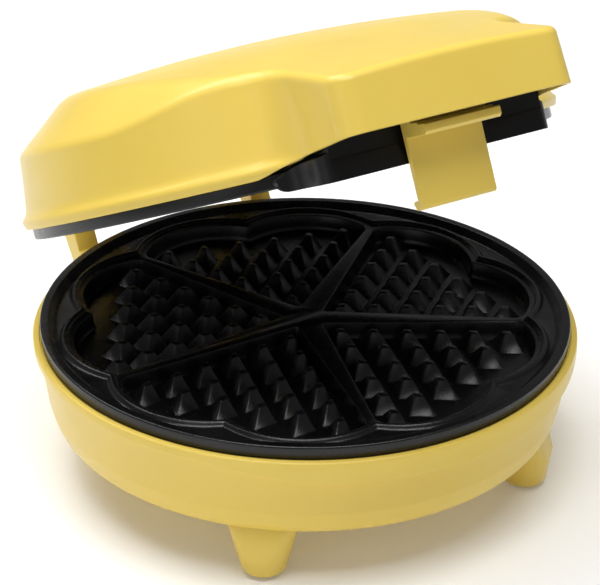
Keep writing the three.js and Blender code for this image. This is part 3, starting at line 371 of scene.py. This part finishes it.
def softened(node, width, body, material, sharp=40):
    """A CAD part's own shape with its edges rounded: merged, its flat faces joined, then bevelled."""
    mesh = frame["nodes"][node].data.copy()
    mesh.name = node + "_finished"
    build = bmesh.new()
    build.from_mesh(mesh)
    bmesh.ops.remove_doubles(build, verts=build.verts, dist=0.000002)
    bmesh.ops.dissolve_limit(build, angle_limit=math.radians(1.0), verts=build.verts, edges=build.edges)
    build.to_mesh(mesh)
    build.free()
    mesh.materials.clear()
    mesh.materials.append(material)
    thing = bpy.data.objects.new(node + "_finished", mesh)
    bpy.context.scene.collection.objects.link(thing)
    rounding = thing.modifiers.new("rounded edges", "BEVEL")
    rounding.width = width * MM
    rounding.segments = 2
    rounding.limit_method = "ANGLE"
    rounding.angle_limit = math.radians(sharp)
    rounding.use_clamp_overlap = True
    set_shading(mesh, sharp)
    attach(thing, body)
    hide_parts(node)
    return thing


print("tools ready")

# %% [markdown]
# ## The flower and its hearts
# Ten lobes of one radius stand round a centre, two for each heart. The outline has a short
# formula in polar form, and growing the lobe radius moves the whole outline outwards, which
# is how the bead keeps its distance from the moulds.

# %% Heart pattern
HEARTS = 5
SECTOR = 2 * math.pi / HEARTS
LOBE_CENTRE_R = 56.0
LOBE_R = 31.0
DIVIDER_HALF = 1.6
HEART_POINT_R = 5.0
HEART_DEPTH = 9.0
TROUGH_DEPTH = 2.8
PATTERN_TURN = math.radians(-15)


def lobe_radius(local, grow=0.0):
    side = LOBE_CENTRE_R * np.sin(local)
    return LOBE_CENTRE_R * np.cos(local) + np.sqrt((LOBE_R + grow) ** 2 - side ** 2)


def flower_radius(angle, grow=0.0):
    lobe = SECTOR / 2
    local = (angle % lobe) - lobe / 2
    return lobe_radius(local, grow)


def heart_outline(inset, steps=14):
    """One heart, its point near the origin and its axis along +V, drawn anticlockwise."""
    half = SECTOR / 2
    wall = DIVIDER_HALF + inset
    right = []
    for step in range(steps + 1):
        local = half / 2 - step / steps * half
        radius = lobe_radius(local, -inset)
        angle = half / 2 + local
        if radius * math.sin(half - angle) > wall + 0.2:
            right.append((radius * math.sin(angle), radius * math.cos(angle)))
    outer = lobe_radius(half / 2, -inset) - 0.6
    turn = half - math.asin(wall / outer)
    right.insert(0, (outer * math.sin(turn), outer * math.cos(turn)))
    point = HEART_POINT_R + wall / math.sin(half)
    left = [(-u, v) for u, v in right[:-1]][::-1]
    return [(0.0, point)] + right + left


print("flower radius from", round(float(flower_radius(0.0)), 1), "to", round(float(flower_radius(SECTOR / 4)), 1))

# %% [markdown]
# ## The baking plates
# A plate is a casting: skirt, lip, a sloping trough, then the bead that follows the flower,
# and the flat land that carries the dividers. All of that is one loft whose rings change
# from circles to flowers. The hearts are cut into the land as tapered walls down to a floor.

# %% Plate surfaces


def inset_loop(loop, distance):
    """A closed outline shrunk by moving each corner along its own inward direction."""
    ahead = np.roll(loop, -1, 0) - loop
    behind = loop - np.roll(loop, 1, 0)
    ahead /= np.linalg.norm(ahead, axis=1)[:, None]
    behind /= np.linalg.norm(behind, axis=1)[:, None]
    area = np.sum(loop[:, 0] * np.roll(loop[:, 1], -1) - loop[:, 1] * np.roll(loop[:, 0], -1))
    tangent = ahead + behind
    tangent /= np.maximum(np.linalg.norm(tangent, axis=1), 1e-9)[:, None]
    normal = np.stack([-tangent[:, 1], tangent[:, 0]], 1) * (1 if area > 0 else -1)
    return loop + normal * distance


def flat_sheet(loops, height):
    """Fills the area inside the first loop and outside the others."""
    polygons = [[Vector((x, y, 0)) for x, y in loop] for loop in loops]
    flat = [p for polygon in polygons for p in polygon]
    faces = tessellate_polygon(polygons)
    return [(p.x, p.y, height) for p in flat], [tuple(face) for face in faces]


def smoothed_loop(points, radius):
    """A closed outline whose corners are rounded where they turn by more than a few degrees."""
    count = len(points)
    out = []
    for i, corner in enumerate(points):
        before, after = np.array(points[i - 1]), np.array(points[(i + 1) % count])
        corner = np.array(corner)
        a = (before - corner) / np.linalg.norm(before - corner)
        b = (after - corner) / np.linalg.norm(after - corner)
        turn = math.pi - math.acos(max(-1, min(1, float(a @ b))))
        if turn < math.radians(25):
            out.append(tuple(corner))
            continue
        reach = min(radius * math.tan(turn / 2), 0.45 * np.linalg.norm(before - corner),
                    0.45 * np.linalg.norm(after - corner))
        for step in range(5):
            t = step / 4
            out.append(tuple((1 - t) ** 2 * (corner + a * reach) + 2 * t * (1 - t) * corner + t * t * (corner + b * reach)))
    return out


def plate_shape(outer_r, pattern_turn):
    angles = np.linspace(0, 2 * math.pi, 360, endpoint=False)

    def ring(radius, height):
        radius = np.broadcast_to(radius, angles.shape)
        return np.stack([radius * np.sin(angles), -radius * np.cos(angles), np.full(len(angles), height)], 1)

    def flower(grow):
        return flower_radius(angles - pattern_turn, grow)

    skirt = filleted(
        [(outer_r - 4, -12), (outer_r - 4, -5), (outer_r, -5), (outer_r, 0), (outer_r - 3.2, 0),
         (outer_r - 5.7, -TROUGH_DEPTH), (outer_r - 8, -TROUGH_DEPTH)],
        [0, 0.3, 0.5, 0.8, 0.7, 1.4])
    rings = [ring(r, z) for r, z in skirt[:-1]]
    for grow, height in ((5.6, -2.75), (5.0, -2.5), (4.5, -1.9), (4.1, -1.35), (3.6, -1.1), (3.1, -1.08),
                         (2.6, -1.3), (2.2, -1.9), (1.8, -2.55), (1.3, -2.8)):
        rings.append(ring(np.minimum(flower(grow), outer_r - 5.9 - (5.6 - grow) * 0.2), height))
    surface = loft(rings, cap_first=True)
    land_edge = [(x, y) for x, y, z in rings[-1]]
    shapes = [surface]
    holes = []
    for heart in range(HEARTS):
        turn = Matrix.Rotation(math.pi + pattern_turn + (heart + 0.5) * SECTOR, 2)
        outline = np.array([tuple(turn @ Vector(p)) for p in smoothed_loop(heart_outline(0), 1.6)])
        walls = []
        for inset, height in ((-0.35, 0), (-0.1, -0.12), (0.05, -0.45), (0.6, -4.2), (0.9, -5.6), (1.4, -6.2)):
            walls.append([(x, y, -TROUGH_DEPTH + height) for x, y in inset_loop(outline, inset)])
        shapes.append(loft(walls))
        floor = [(x, y) for x, y, z in walls[-1]]
        shapes.append(flat_sheet([floor], -HEART_DEPTH))
        holes.append([(x, y) for x, y, z in walls[0]])
    shapes.append(flat_sheet([land_edge] + holes, -TROUGH_DEPTH))
    return joined(*shapes)


FLIP = Matrix.Translation((0, 0, 0.3)) @ Matrix.Rotation(math.pi, 4, "Y")
UPPER_FRAME = LID_FRAME @ FLIP
lower_plate = piece("lower_plate_finished", plate_shape(98, PATTERN_TURN), BASE_FRAME, "base",
                    BLACK_COAT, ["lower_plate"], outward=True)
upper_plate = piece("upper_plate_finished", plate_shape(96, -PATTERN_TURN), UPPER_FRAME, "lid",
                    BLACK_COAT, ["upper_plate"], outward=True)
print("both plates are lofted castings")

# %% [markdown]
# ## Studs by Geometry Nodes
# Each heart's floor carries rows of low pyramids, parallel to both of its dividers. One
# heart's lattice of points is turned round the centre for every heart, and a four-sided frustum is
# instanced on every point. The tree is built here with named inputs for the shape, its material
# and its size; pitch, width and height are plain numbers set in one place. Realize Instances makes the result real
# mesh.

# %% Stud lattice


def inside(loop, u, v):
    nearest, within = 1e9, False
    for i, (bx, by) in enumerate(loop):
        ax, ay = loop[i - 1]
        length = (bx - ax) ** 2 + (by - ay) ** 2
        t = max(0, min(1, ((u - ax) * (bx - ax) + (v - ay) * (by - ay)) / length))
        nearest = min(nearest, math.hypot(u - ax - t * (bx - ax), v - ay - t * (by - ay)))
        if (ay > v) != (by > v) and u < (bx - ax) * (v - ay) / (by - ay) + ax:
            within = not within
    return nearest if within else -nearest


STUD_PITCH, STUD_WIDE, STUD_TOP, STUD_H, STUD_MARGIN = 12.2, 9.0, 2.6, 6.0, 1.0


def stud_lattice():
    loop = heart_outline(0)
    half = SECTOR / 2
    start = loop[0][1] + STUD_WIDE * math.cos(half) + STUD_MARGIN / math.sin(half)
    places = []
    for row in range(12):
        for column in range(-row, row + 1, 2):
            u = column * STUD_PITCH * math.sin(half)
            v = start + row * STUD_PITCH * math.cos(half)
            reach_u, reach_v = STUD_WIDE * math.sin(half), STUD_WIDE * math.cos(half)
            corners = ((u - reach_u, v), (u + reach_u, v), (u, v - reach_v), (u, v + reach_v))
            if all(inside(loop, x, y) > STUD_MARGIN * 0.9 for x, y in corners):
                places.append((u, v))
    return places


def points_object(name, points):
    mesh = bpy.data.meshes.new(name)
    mesh.from_pydata(points, [], [])
    thing = bpy.data.objects.new(name, mesh)
    bpy.context.scene.collection.objects.link(thing)
    return thing


def node_tree(name, sizes):
    tree = bpy.data.node_groups.new(name, "GeometryNodeTree")
    tree.interface.new_socket("Geometry", in_out="INPUT", socket_type="NodeSocketGeometry")
    sockets = {}
    for label, kind in sizes:
        sockets[label] = tree.interface.new_socket(label, in_out="INPUT", socket_type=kind).identifier
    tree.interface.new_socket("Geometry", in_out="OUTPUT", socket_type="NodeSocketGeometry")
    return tree, tree.nodes.new("NodeGroupInput"), tree.nodes.new("NodeGroupOutput"), sockets


def repeat_tree():
    """Instances one object on every point, turns each copy as the point says, and makes it real."""
    tree, start, end, sockets = node_tree(
        "repeat_on_points",
        [("Shape", "NodeSocketObject"), ("Material", "NodeSocketMaterial"), ("Size", "NodeSocketFloat")])
    info = tree.nodes.new("GeometryNodeObjectInfo")
    turn = tree.nodes.new("GeometryNodeInputNamedAttribute")
    turn.data_type = "FLOAT_VECTOR"
    turn.inputs["Name"].default_value = "turn"
    place = tree.nodes.new("GeometryNodeInstanceOnPoints")
    real = tree.nodes.new("GeometryNodeRealizeInstances")
    paint = tree.nodes.new("GeometryNodeSetMaterial")
    tree.links.new(start.outputs["Shape"], info.inputs["Object"])
    tree.links.new(start.outputs["Geometry"], place.inputs["Points"])
    tree.links.new(info.outputs["Geometry"], place.inputs["Instance"])
    tree.links.new(turn.outputs["Attribute"], place.inputs["Rotation"])
    tree.links.new(start.outputs["Size"], place.inputs["Scale"])
    tree.links.new(place.outputs["Instances"], real.inputs["Geometry"])
    tree.links.new(real.outputs["Geometry"], paint.inputs["Geometry"])
    tree.links.new(start.outputs["Material"], paint.inputs["Material"])
    tree.links.new(paint.outputs["Geometry"], end.inputs["Geometry"])
    return tree, sockets


REPEAT, REPEAT_SOCKETS = repeat_tree()


def repeated(name, shape, places, turns, place_frame, body, material, replaces=(), sharp=30):
    """A drawn shape repeated on drawn points, as one plain mesh on a body."""
    seed = bpy.data.meshes.new(name + "_seed")
    seed.from_pydata(*[shape[0], [], shape[1]])
    build = bmesh.new()
    build.from_mesh(seed)
    bmesh.ops.recalc_face_normals(build, faces=build.faces)
    build.to_mesh(seed)
    build.free()
    seed_object = bpy.data.objects.new(name + "_seed", seed)
    points = points_object(name + "_points", places)
    attribute = points.data.attributes.new("turn", "FLOAT_VECTOR", "POINT")
    for item, value in zip(attribute.data, turns):
        item.vector = value
    modifier = points.modifiers.new("repeat", "NODES")
    modifier.node_group = REPEAT
    modifier[REPEAT_SOCKETS["Shape"]] = seed_object
    modifier[REPEAT_SOCKETS["Material"]] = material
    modifier[REPEAT_SOCKETS["Size"]] = 1.0
    bpy.context.view_layer.update()
    evaluated = points.evaluated_get(bpy.context.evaluated_depsgraph_get())
    mesh = bpy.data.meshes.new_from_object(evaluated)
    bpy.data.objects.remove(points)
    bpy.data.objects.remove(seed_object)
    mesh.transform(place_frame)
    mesh.name = name
    if "turn" in mesh.attributes:
        mesh.attributes.remove(mesh.attributes["turn"])
    set_shading(mesh, sharp)
    thing = bpy.data.objects.new(name, mesh)
    bpy.context.scene.collection.objects.link(thing)
    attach(thing, body)
    if replaces:
        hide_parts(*replaces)
    print(name, len(places), "copies,", len(mesh.polygons), "faces")
    return thing


def stud_shape():
    """A frustum on a diamond base, its edges and top softened by extra rings."""
    half = SECTOR / 2
    rings = []
    for share, height in ((STUD_WIDE + 0.5, 0.0), (STUD_WIDE - 0.4, 0.35), (STUD_TOP + 0.5, STUD_H - 0.5),
                          (STUD_TOP, STUD_H - 0.12), (STUD_TOP - 0.6, STUD_H)):
        ring = []
        for quarter in range(4):
            for nudge in (-0.10, 0.10):
                angle = quarter * math.pi / 2 + nudge
                across_x = share * math.sin(half) * math.cos(angle)
                ring.append((across_x, share * math.cos(half) * math.sin(angle), height))
        rings.append(ring)
    return loft(rings, cap_last=True)


def stud_places(pattern_turn):
    places, turns = [], []
    for heart in range(HEARTS):
        angle = math.pi + pattern_turn + (heart + 0.5) * SECTOR
        turn = Matrix.Rotation(angle, 2)
        for place in stud_lattice():
            spot = turn @ Vector(place)
            places.append((spot.x, spot.y, -HEART_DEPTH))
            turns.append((0, 0, angle))
    return places, turns


for name, turn, place_frame, body in (("lower_plate_studs", PATTERN_TURN, BASE_FRAME, "base"),
                                      ("upper_plate_studs", -PATTERN_TURN, UPPER_FRAME, "lid")):
    places, turns = stud_places(turn)
    repeated(name, stud_shape(), places, turns, place_frame, body, BLACK_COAT)

# %% [markdown]
# ## The base housing
# The bowl is a loft of profiles. Every profile has the same corners, but across the front
# the rim grows into a deeper ledge for the clip, so the profile's numbers change with the
# angle. Feet, hinge posts and the slotted floor are drawn as their own closed forms.

# %% Bowl
RIM_R, WALL_R, WALL_LOW_R = 100.7, 98.9, 96.2
BASE_BOTTOM = -38.5


def ledge_share(x, y):
    """1 where the ledge is at full depth, falling to 0 towards both of its ends."""
    if y > 0:
        return 0.0
    beyond = (abs(x) - 36) / 44
    return float(np.clip(1 - max(0.0, beyond) ** 1.6, 0, 1)) if beyond < 1 else 0.0


def bowl_profile(share):
    bottom = -8 - 5 * share
    corners = [
        (80, -36.1), (92.6, -36.1), (93.8, -29), (95.2, -14), (94.3, -13), (94.3, -5.3), (98.4, -5.3), (98.4, -4.6),
        (RIM_R + 0.1, -4.6), (RIM_R + 0.9 * share, bottom), (WALL_R - 1.5 * share, bottom - 1.1 + 0.6 * share),
        (WALL_LOW_R, -28), (93.4, BASE_BOTTOM), (80, BASE_BOTTOM)]
    radii = [0, 6, 3, 0.4, 0.3, 0.2, 0.3, 0.3, 0.95, 0.7, 1.0, 8, 10.5, 0]
    return filleted(corners, radii)


def bowl_shape(count=240):
    columns = []
    for angle in np.linspace(0, 2 * math.pi, count, endpoint=False):
        x, y = math.sin(angle), -math.cos(angle)
        profile = bowl_profile(ledge_share(x * RIM_R, y * RIM_R))
        columns.append([(x * r, y * r, z) for r, z in profile])
    return loft(np.array(columns).transpose(1, 0, 2))


BOSS_CIRCLE_R, WELL_R = 72, 4.0
BOSSES = [(BOSS_CIRCLE_R * math.cos(math.radians(a)), BOSS_CIRCLE_R * math.sin(math.radians(a)))
          for a in (-90, 30, 150)]


def circle(x, y, radius, count=32, start=0.0):
    turns = [start + 2 * math.pi * i / count for i in range(count)]
    return [(x + radius * math.cos(turn), y + radius * math.sin(turn)) for turn in turns]


def slot_outline(x, y, length, width):
    """A slot along X with round ends."""
    half = length / 2 - width / 2
    ends = [(x + half + width / 2 * math.cos(a), y + width / 2 * math.sin(a))
            for a in np.linspace(-math.pi / 2, math.pi / 2, 7)]
    return ends + [(2 * x - px, 2 * y - py) for px, py in ends]


def floor_shape():
    edge = circle(0, 0, 80, 240, -math.pi / 2)
    vents = [slot_outline(0, (row - 3) * 7, 46, 2.6) for row in range(7)]
    wells = [circle(x, y, WELL_R) for x, y in BOSSES]
    shapes = [flat_sheet([edge] + vents + wells, BASE_BOTTOM), flat_sheet([edge] + vents, -36.1)]
    for vent in vents:
        shapes.append(loft([[(x, y, BASE_BOTTOM) for x, y in vent], [(x, y, -36.1) for x, y in vent]]))
    for x, y in BOSSES:
        shapes.append(revolved([(WELL_R, BASE_BOTTOM), (WELL_R, -36.0)], 32, (x, y)))
    return joined(*shapes)


def foot_shape(x, y):
    profile = filleted([(13.9, -33), (12.9, -37), (12.1, -40), (10.8, -45), (7.8, -57.2), (0.01, -57.2)],
                       [0, 0, 0, 0, 2.6])
    vertices, faces = revolved(profile, 64, (x, y))
    held = []                       # the foot's upper end stays inside the bowl's wall
    for px, py, z in vertices:
        reach = math.hypot(px, py)
        limit = float(np.interp(z, [-57, -45, -38.5, -33], [99, 95.0, 92.8, 91]))
        share = min(1, limit / reach)
        held.append((px * share, py * share, z))
    return held, faces


def extruded_x(outline, left, right, round_over=0.7):
    """A side view of (y, z) given width along X, with its two long edges rounded over."""
    loop = np.array(outline, float)
    inner = inset_loop(loop, round_over)
    middle = inset_loop(loop, round_over * 0.3)
    rows = [(left, inner), (left + round_over * 0.3, middle), (left + round_over, loop),
            (right - round_over, loop), (right - round_over * 0.3, middle), (right, inner)]
    vertices, faces = loft([[(x, y, z) for y, z in row] for x, row in rows])
    count = len(loop)
    faces.append(tuple(range(count)))
    faces.append(tuple(range(5 * count, 6 * count)))
    return vertices, faces


def arc(y, z, radius, start, end, count=14):
    return [(y + radius * math.cos(a), z + radius * math.sin(a)) for a in np.radians(np.linspace(start, end, count))]


HINGE_Y, HINGE_Z = 109.8, 6.4
POST = ([(92, -6.2), (97.7, -6.2)] + arc(HINGE_Y, HINGE_Z, 6, 195, 0)
        + [(115.8, 2), (110.5, -5), (95, -24), (86, -24), (86, -9)])
base_shapes = [bowl_shape(), floor_shape()]
base_shapes += [foot_shape(x, y) for x in (-56.4, 56.4) for y in (-64.3, 64.3)]
base_shapes += [extruded_x(POST[::-1], left, right) for left, right in ((-44.5, -35.5), (35.5, 44.5))]
base = piece("base_housing_finished", joined(*base_shapes), BASE_FRAME, "base", YELLOW,
             ["base_housing"], sharp=32, outward=False)

# %% [markdown]
# ## The lid housing
# Seen from above the lid is a circle with a handle growing out of it through two hollow
# curves. Seen from the side it has a flared lip, an upright wall, a sloping shoulder and a
# crowned top that falls away towards the handle. Points along the outline each carry one
# such side view; the shoulder fades out where the handle's sides begin.

# %% Lid outline
HANDLE_HALF, HANDLE_FRONT, HANDLE_CORNER, HANDLE_BLEND = 44.6, -122.0, 8.0, 20.0
WALL_12_R = 96.6                    # radius of the round wall 12 mm above the plates' contact
CREASE_Z, CREASE_RISE = 30.4, 8.2
SHOULDER_SLOPE = 0.84
LID_TOP, FALL_START, FALL_R, FALL_SLOPE, CROWN_R = 51.2, 10.0, 350.0, 0.2, 640.0


def lid_outline():
    """Points (x, y), outward direction, and 0 on the round part to 1 on the handle."""
    blend_x = HANDLE_HALF + HANDLE_BLEND
    blend_y = -math.sqrt((WALL_12_R + HANDLE_BLEND) ** 2 - blend_x ** 2)
    meet = math.atan2(-blend_y, blend_x)
    half = []                       # from the middle of the front, round by +X, to the rear
    for x in np.linspace(0, HANDLE_HALF - HANDLE_CORNER, 16):
        half.append((x, HANDLE_FRONT, 0, -1, 1))
    for a in np.radians(np.linspace(-90, 0, 15)[1:]):
        half.append((HANDLE_HALF - HANDLE_CORNER + HANDLE_CORNER * math.cos(a),
                     HANDLE_FRONT + HANDLE_CORNER + HANDLE_CORNER * math.sin(a), math.cos(a), math.sin(a), 1))
    for y in np.linspace(HANDLE_FRONT + HANDLE_CORNER, blend_y, 10)[1:]:
        half.append((HANDLE_HALF, y, 1, 0, 1))
    for a in np.linspace(math.pi, math.pi - meet, 16)[1:]:
        share = (math.pi - a) / meet
        nx, ny = -math.cos(a), -math.sin(a)
        weight = 1 - share * share * (3 - 2 * share)
        half.append((blend_x + HANDLE_BLEND * math.cos(a), blend_y + HANDLE_BLEND * math.sin(a), nx, ny, weight))
    start = math.atan2(half[-1][1], half[-1][0])
    for a in np.linspace(start, math.pi / 2, 110)[1:]:
        half.append((WALL_12_R * math.cos(a), WALL_12_R * math.sin(a), math.cos(a), math.sin(a), 0))
    other = [(-x, y, -nx, ny, w) for x, y, nx, ny, w in half[1:-1]][::-1]
    return np.array(half + other)


def top_height(x, y):
    ahead = np.maximum(FALL_START - y, 0)
    bend = FALL_R * FALL_SLOPE
    fall = np.where(ahead < bend, ahead ** 2 / (2 * FALL_R), bend ** 2 / (2 * FALL_R) + (ahead - bend) * FALL_SLOPE)
    behind = np.maximum(y - 30, 0)
    return LID_TOP - fall - x ** 2 / (2 * CROWN_R) - behind ** 2 / 900


def smooth_step(value):
    value = np.clip(value, 0, 1)
    return value * value * (3 - 2 * value)


def soft_least(a, b, width):
    overlap = np.maximum(width - np.abs(a - b), 0) / width
    return np.minimum(a, b) - overlap * overlap * width / 4


def crease_height(x, y):
    """Top of the wall: level at the rear and sides, rising to the top surface at the handle."""
    turn = np.degrees(np.arctan2(np.abs(x), -y))
    rise = CREASE_RISE * smooth_step((68 - turn) / 36)
    return CREASE_Z + rise + 60 * smooth_step((30 - turn) / 4)


def lid_height(x, y, wall_r):
    shoulder = crease_height(x, y) + SHOULDER_SLOPE * (wall_r - np.hypot(x, y))
    return soft_least(top_height(x, y), shoulder, 3.0)


print("lid outline has", len(lid_outline()), "points")

# %% Lid shell
ROUND_WALL = ([4.4, 5.0, 7.0, 7.8, 9.6, 12, 18, 28.5, 40], [1.5, 1.8, 2.4, 2.2, 0.5, 0, -0.8, -2.0, -3.4])
EDGE_SWEEP = ([-126, -122, -112, -102, -94, -89, -85, -82, -79], [12.0, 12.0, 10.9, 9.8, 8.8, 7.8, 6.6, 5.6, 4.4])
DRAFT = 0.09


def wall_offset(z, weight, x, y, ny):
    round_part = np.interp(z, *ROUND_WALL)
    lean = max(0.0, -ny) * DRAFT * (31 - z)
    return (1 - weight) * round_part + weight * lean


def lid_column(x, y, nx, ny, weight):
    """One side view: up the wall, round the crease, and in to the middle."""
    edge = float(np.interp(y, *EDGE_SWEEP)) if abs(x) < 62 and y < -70 else 4.4
    corner_r = 3.0 * weight + 5.0 * (1 - weight)
    radius = math.hypot(x, y)
    guess = min(float(crease_height(x, y)), float(top_height(x, y)))
    guess_offset = wall_offset(guess, weight, x, y, ny)
    corner = np.array((x + nx * guess_offset, y + ny * guess_offset))
    wall_r = float(np.linalg.norm(corner))
    top = float(lid_height(corner[0], corner[1], wall_r))
    inner = corner - np.array((nx, ny)) * 6
    slope = math.atan2(float(lid_height(inner[0], inner[1], wall_r)) - top, 6)
    turn = math.pi / 2 - slope
    reach = corner_r * math.tan(turn / 2)
    points = []
    shares = (0, .012, .03, .055, .085, .12, .16, .2, .25, .31, .38, .46, .55, .64, .73, .82, .9, .96)
    for share in shares:
        z = edge + (top - reach - edge) * share
        offset = wall_offset(z, weight, x, y, ny)
        points.append((x + nx * offset, y + ny * offset, z))
    start_offset = wall_offset(top - reach, weight, x, y, ny)
    for step in range(9):
        swing = turn * step / 8
        inward = corner_r * (1 - math.cos(swing))
        rise = corner_r * math.sin(swing)
        offset = start_offset - inward
        points.append((x + nx * offset, y + ny * offset, top - reach + rise))
    last = np.array(points[-1])
    base_height = float(lid_height(last[0], last[1], wall_r))
    gap = last[2] - base_height
    for share in (.012, .025, .04, .055, .07, .09, .11, .13, .15, .17, .19, .21, .23, .255, .28, .31, .35, .4, .47,
                  .55, .64, .74, .84, .93, .98):
        px, py = last[0] * (1 - share), last[1] * (1 - share)
        fade = max(0.0, 1 - share / 0.09)
        points.append((px, py, float(lid_height(px, py, wall_r)) + gap * fade))
    return points


def lid_shell():
    columns = np.array([lid_column(*row) for row in lid_outline()])
    return loft(columns.transpose(1, 0, 2), cap_last=True)


lid_mesh = lid_shell()
lid = piece("lid_housing_finished", lid_mesh, LID_FRAME, "lid", YELLOW, ["lid_housing"], sharp=50)
wall = lid.modifiers.new("wall thickness", "SOLIDIFY")
wall.thickness = 2.2 * MM
wall.offset = -1
wall.use_even_offset = True

ARM = [(86, 5.8), (96, 3.6)] + arc(HINGE_Y, HINGE_Z, 5.6, -100, 75) + [(103, 16), (96, 22), (86, 23.5)]
arms = joined(*[extruded_x(ARM, left, right) for left, right in ((-35.2, -22), (22, 35.2))])
piece("lid_arms", arms, LID_FRAME, "lid", YELLOW, sharp=35)
print("lid shell faces outward, wall 2.2 mm")

# %% [markdown]
# ## Liner, clip, feet and fittings
# The black liner and the yellow clip are plain moulded forms, already right in the CAD
# model. A copy of each gets its flat faces merged and every edge rounded over a little. The
# same treatment suits the pads, the pins and the cord grommet.

# %% Small parts
softened("handle_liner", 0.5, "lid", BLACK_PLASTIC)
softened("latch_clip", 0.3, "clip", YELLOW)
for node in frame["nodes"]:
    if node.startswith("foot_pad"):
        softened(node, 0.4, "base", RUBBER)
    if node.startswith("hinge_pin"):
        softened(node, 0.3, "base", STEEL)
softened("cord_inlet", 0.3, "base", BLACK_PLASTIC)
print("small parts softened")

# %% [markdown]
# ## Floor and light
# A wide pale sheet that glows a little, one large soft light overhead, one above and behind,
# a weak one from the left, and a dim even world. The top of the lid comes out bright, its
# front calm, and the base and feet a little darker.

# %% Stage


def add_floor():
    size = 4.0
    mesh = bpy.data.meshes.new("floor")
    mesh.from_pydata([(-size, -size, 0), (size, -size, 0), (size, size, 0), (-size, size, 0)], [], [(0, 1, 2, 3)])
    material = bpy.data.materials.new("pale_floor")
    material.use_nodes = True
    shader = material.node_tree.nodes["Principled BSDF"]
    shader.inputs["Base Color"].default_value = (0.93, 0.93, 0.93, 1)
    shader.inputs["Emission Color"].default_value = (1, 1, 1, 1)
    shader.inputs["Emission Strength"].default_value = 0.1
    shader.inputs["Roughness"].default_value = 0.9
    mesh.materials.append(material)
    floor = bpy.data.objects.new("floor", mesh)
    floor.location.z = CAD_BOX[0][2] - 0.0002
    bpy.context.scene.collection.objects.link(floor)


def add_light(name, place, aim, size, power):
    data = bpy.data.lights.new(name, "AREA")
    data.shape = "RECTANGLE"
    data.size, data.size_y = size
    data.energy = power
    lamp = bpy.data.objects.new(name, data)
    direction = Vector(place) - Vector(aim)
    lamp.matrix_world = Matrix.Translation(place) @ direction.to_track_quat("Z", "Y").to_matrix().to_4x4()
    bpy.context.scene.collection.objects.link(lamp)


add_floor()
add_light("key", (-0.1, -0.2, 1.2), (0, 0, 0.08), (0.9, 0.7), 11.8)
add_light("rear", (-0.2, 0.6, 1.0), (0, 0, 0.1), (0.8, 0.5), 7)
add_light("side", (-1.1, -0.5, 0.5), (0, 0, 0.08), (0.6, 0.8), 1.0)
world = bpy.data.worlds.new("even light")
world.use_nodes = True
world.node_tree.nodes["Background"].inputs["Color"].default_value = (1, 1, 1, 1)
world.node_tree.nodes["Background"].inputs["Strength"].default_value = 0.2
bpy.context.scene.world = world
bpy.context.scene.view_settings.view_transform = "Standard"
print("stage set")
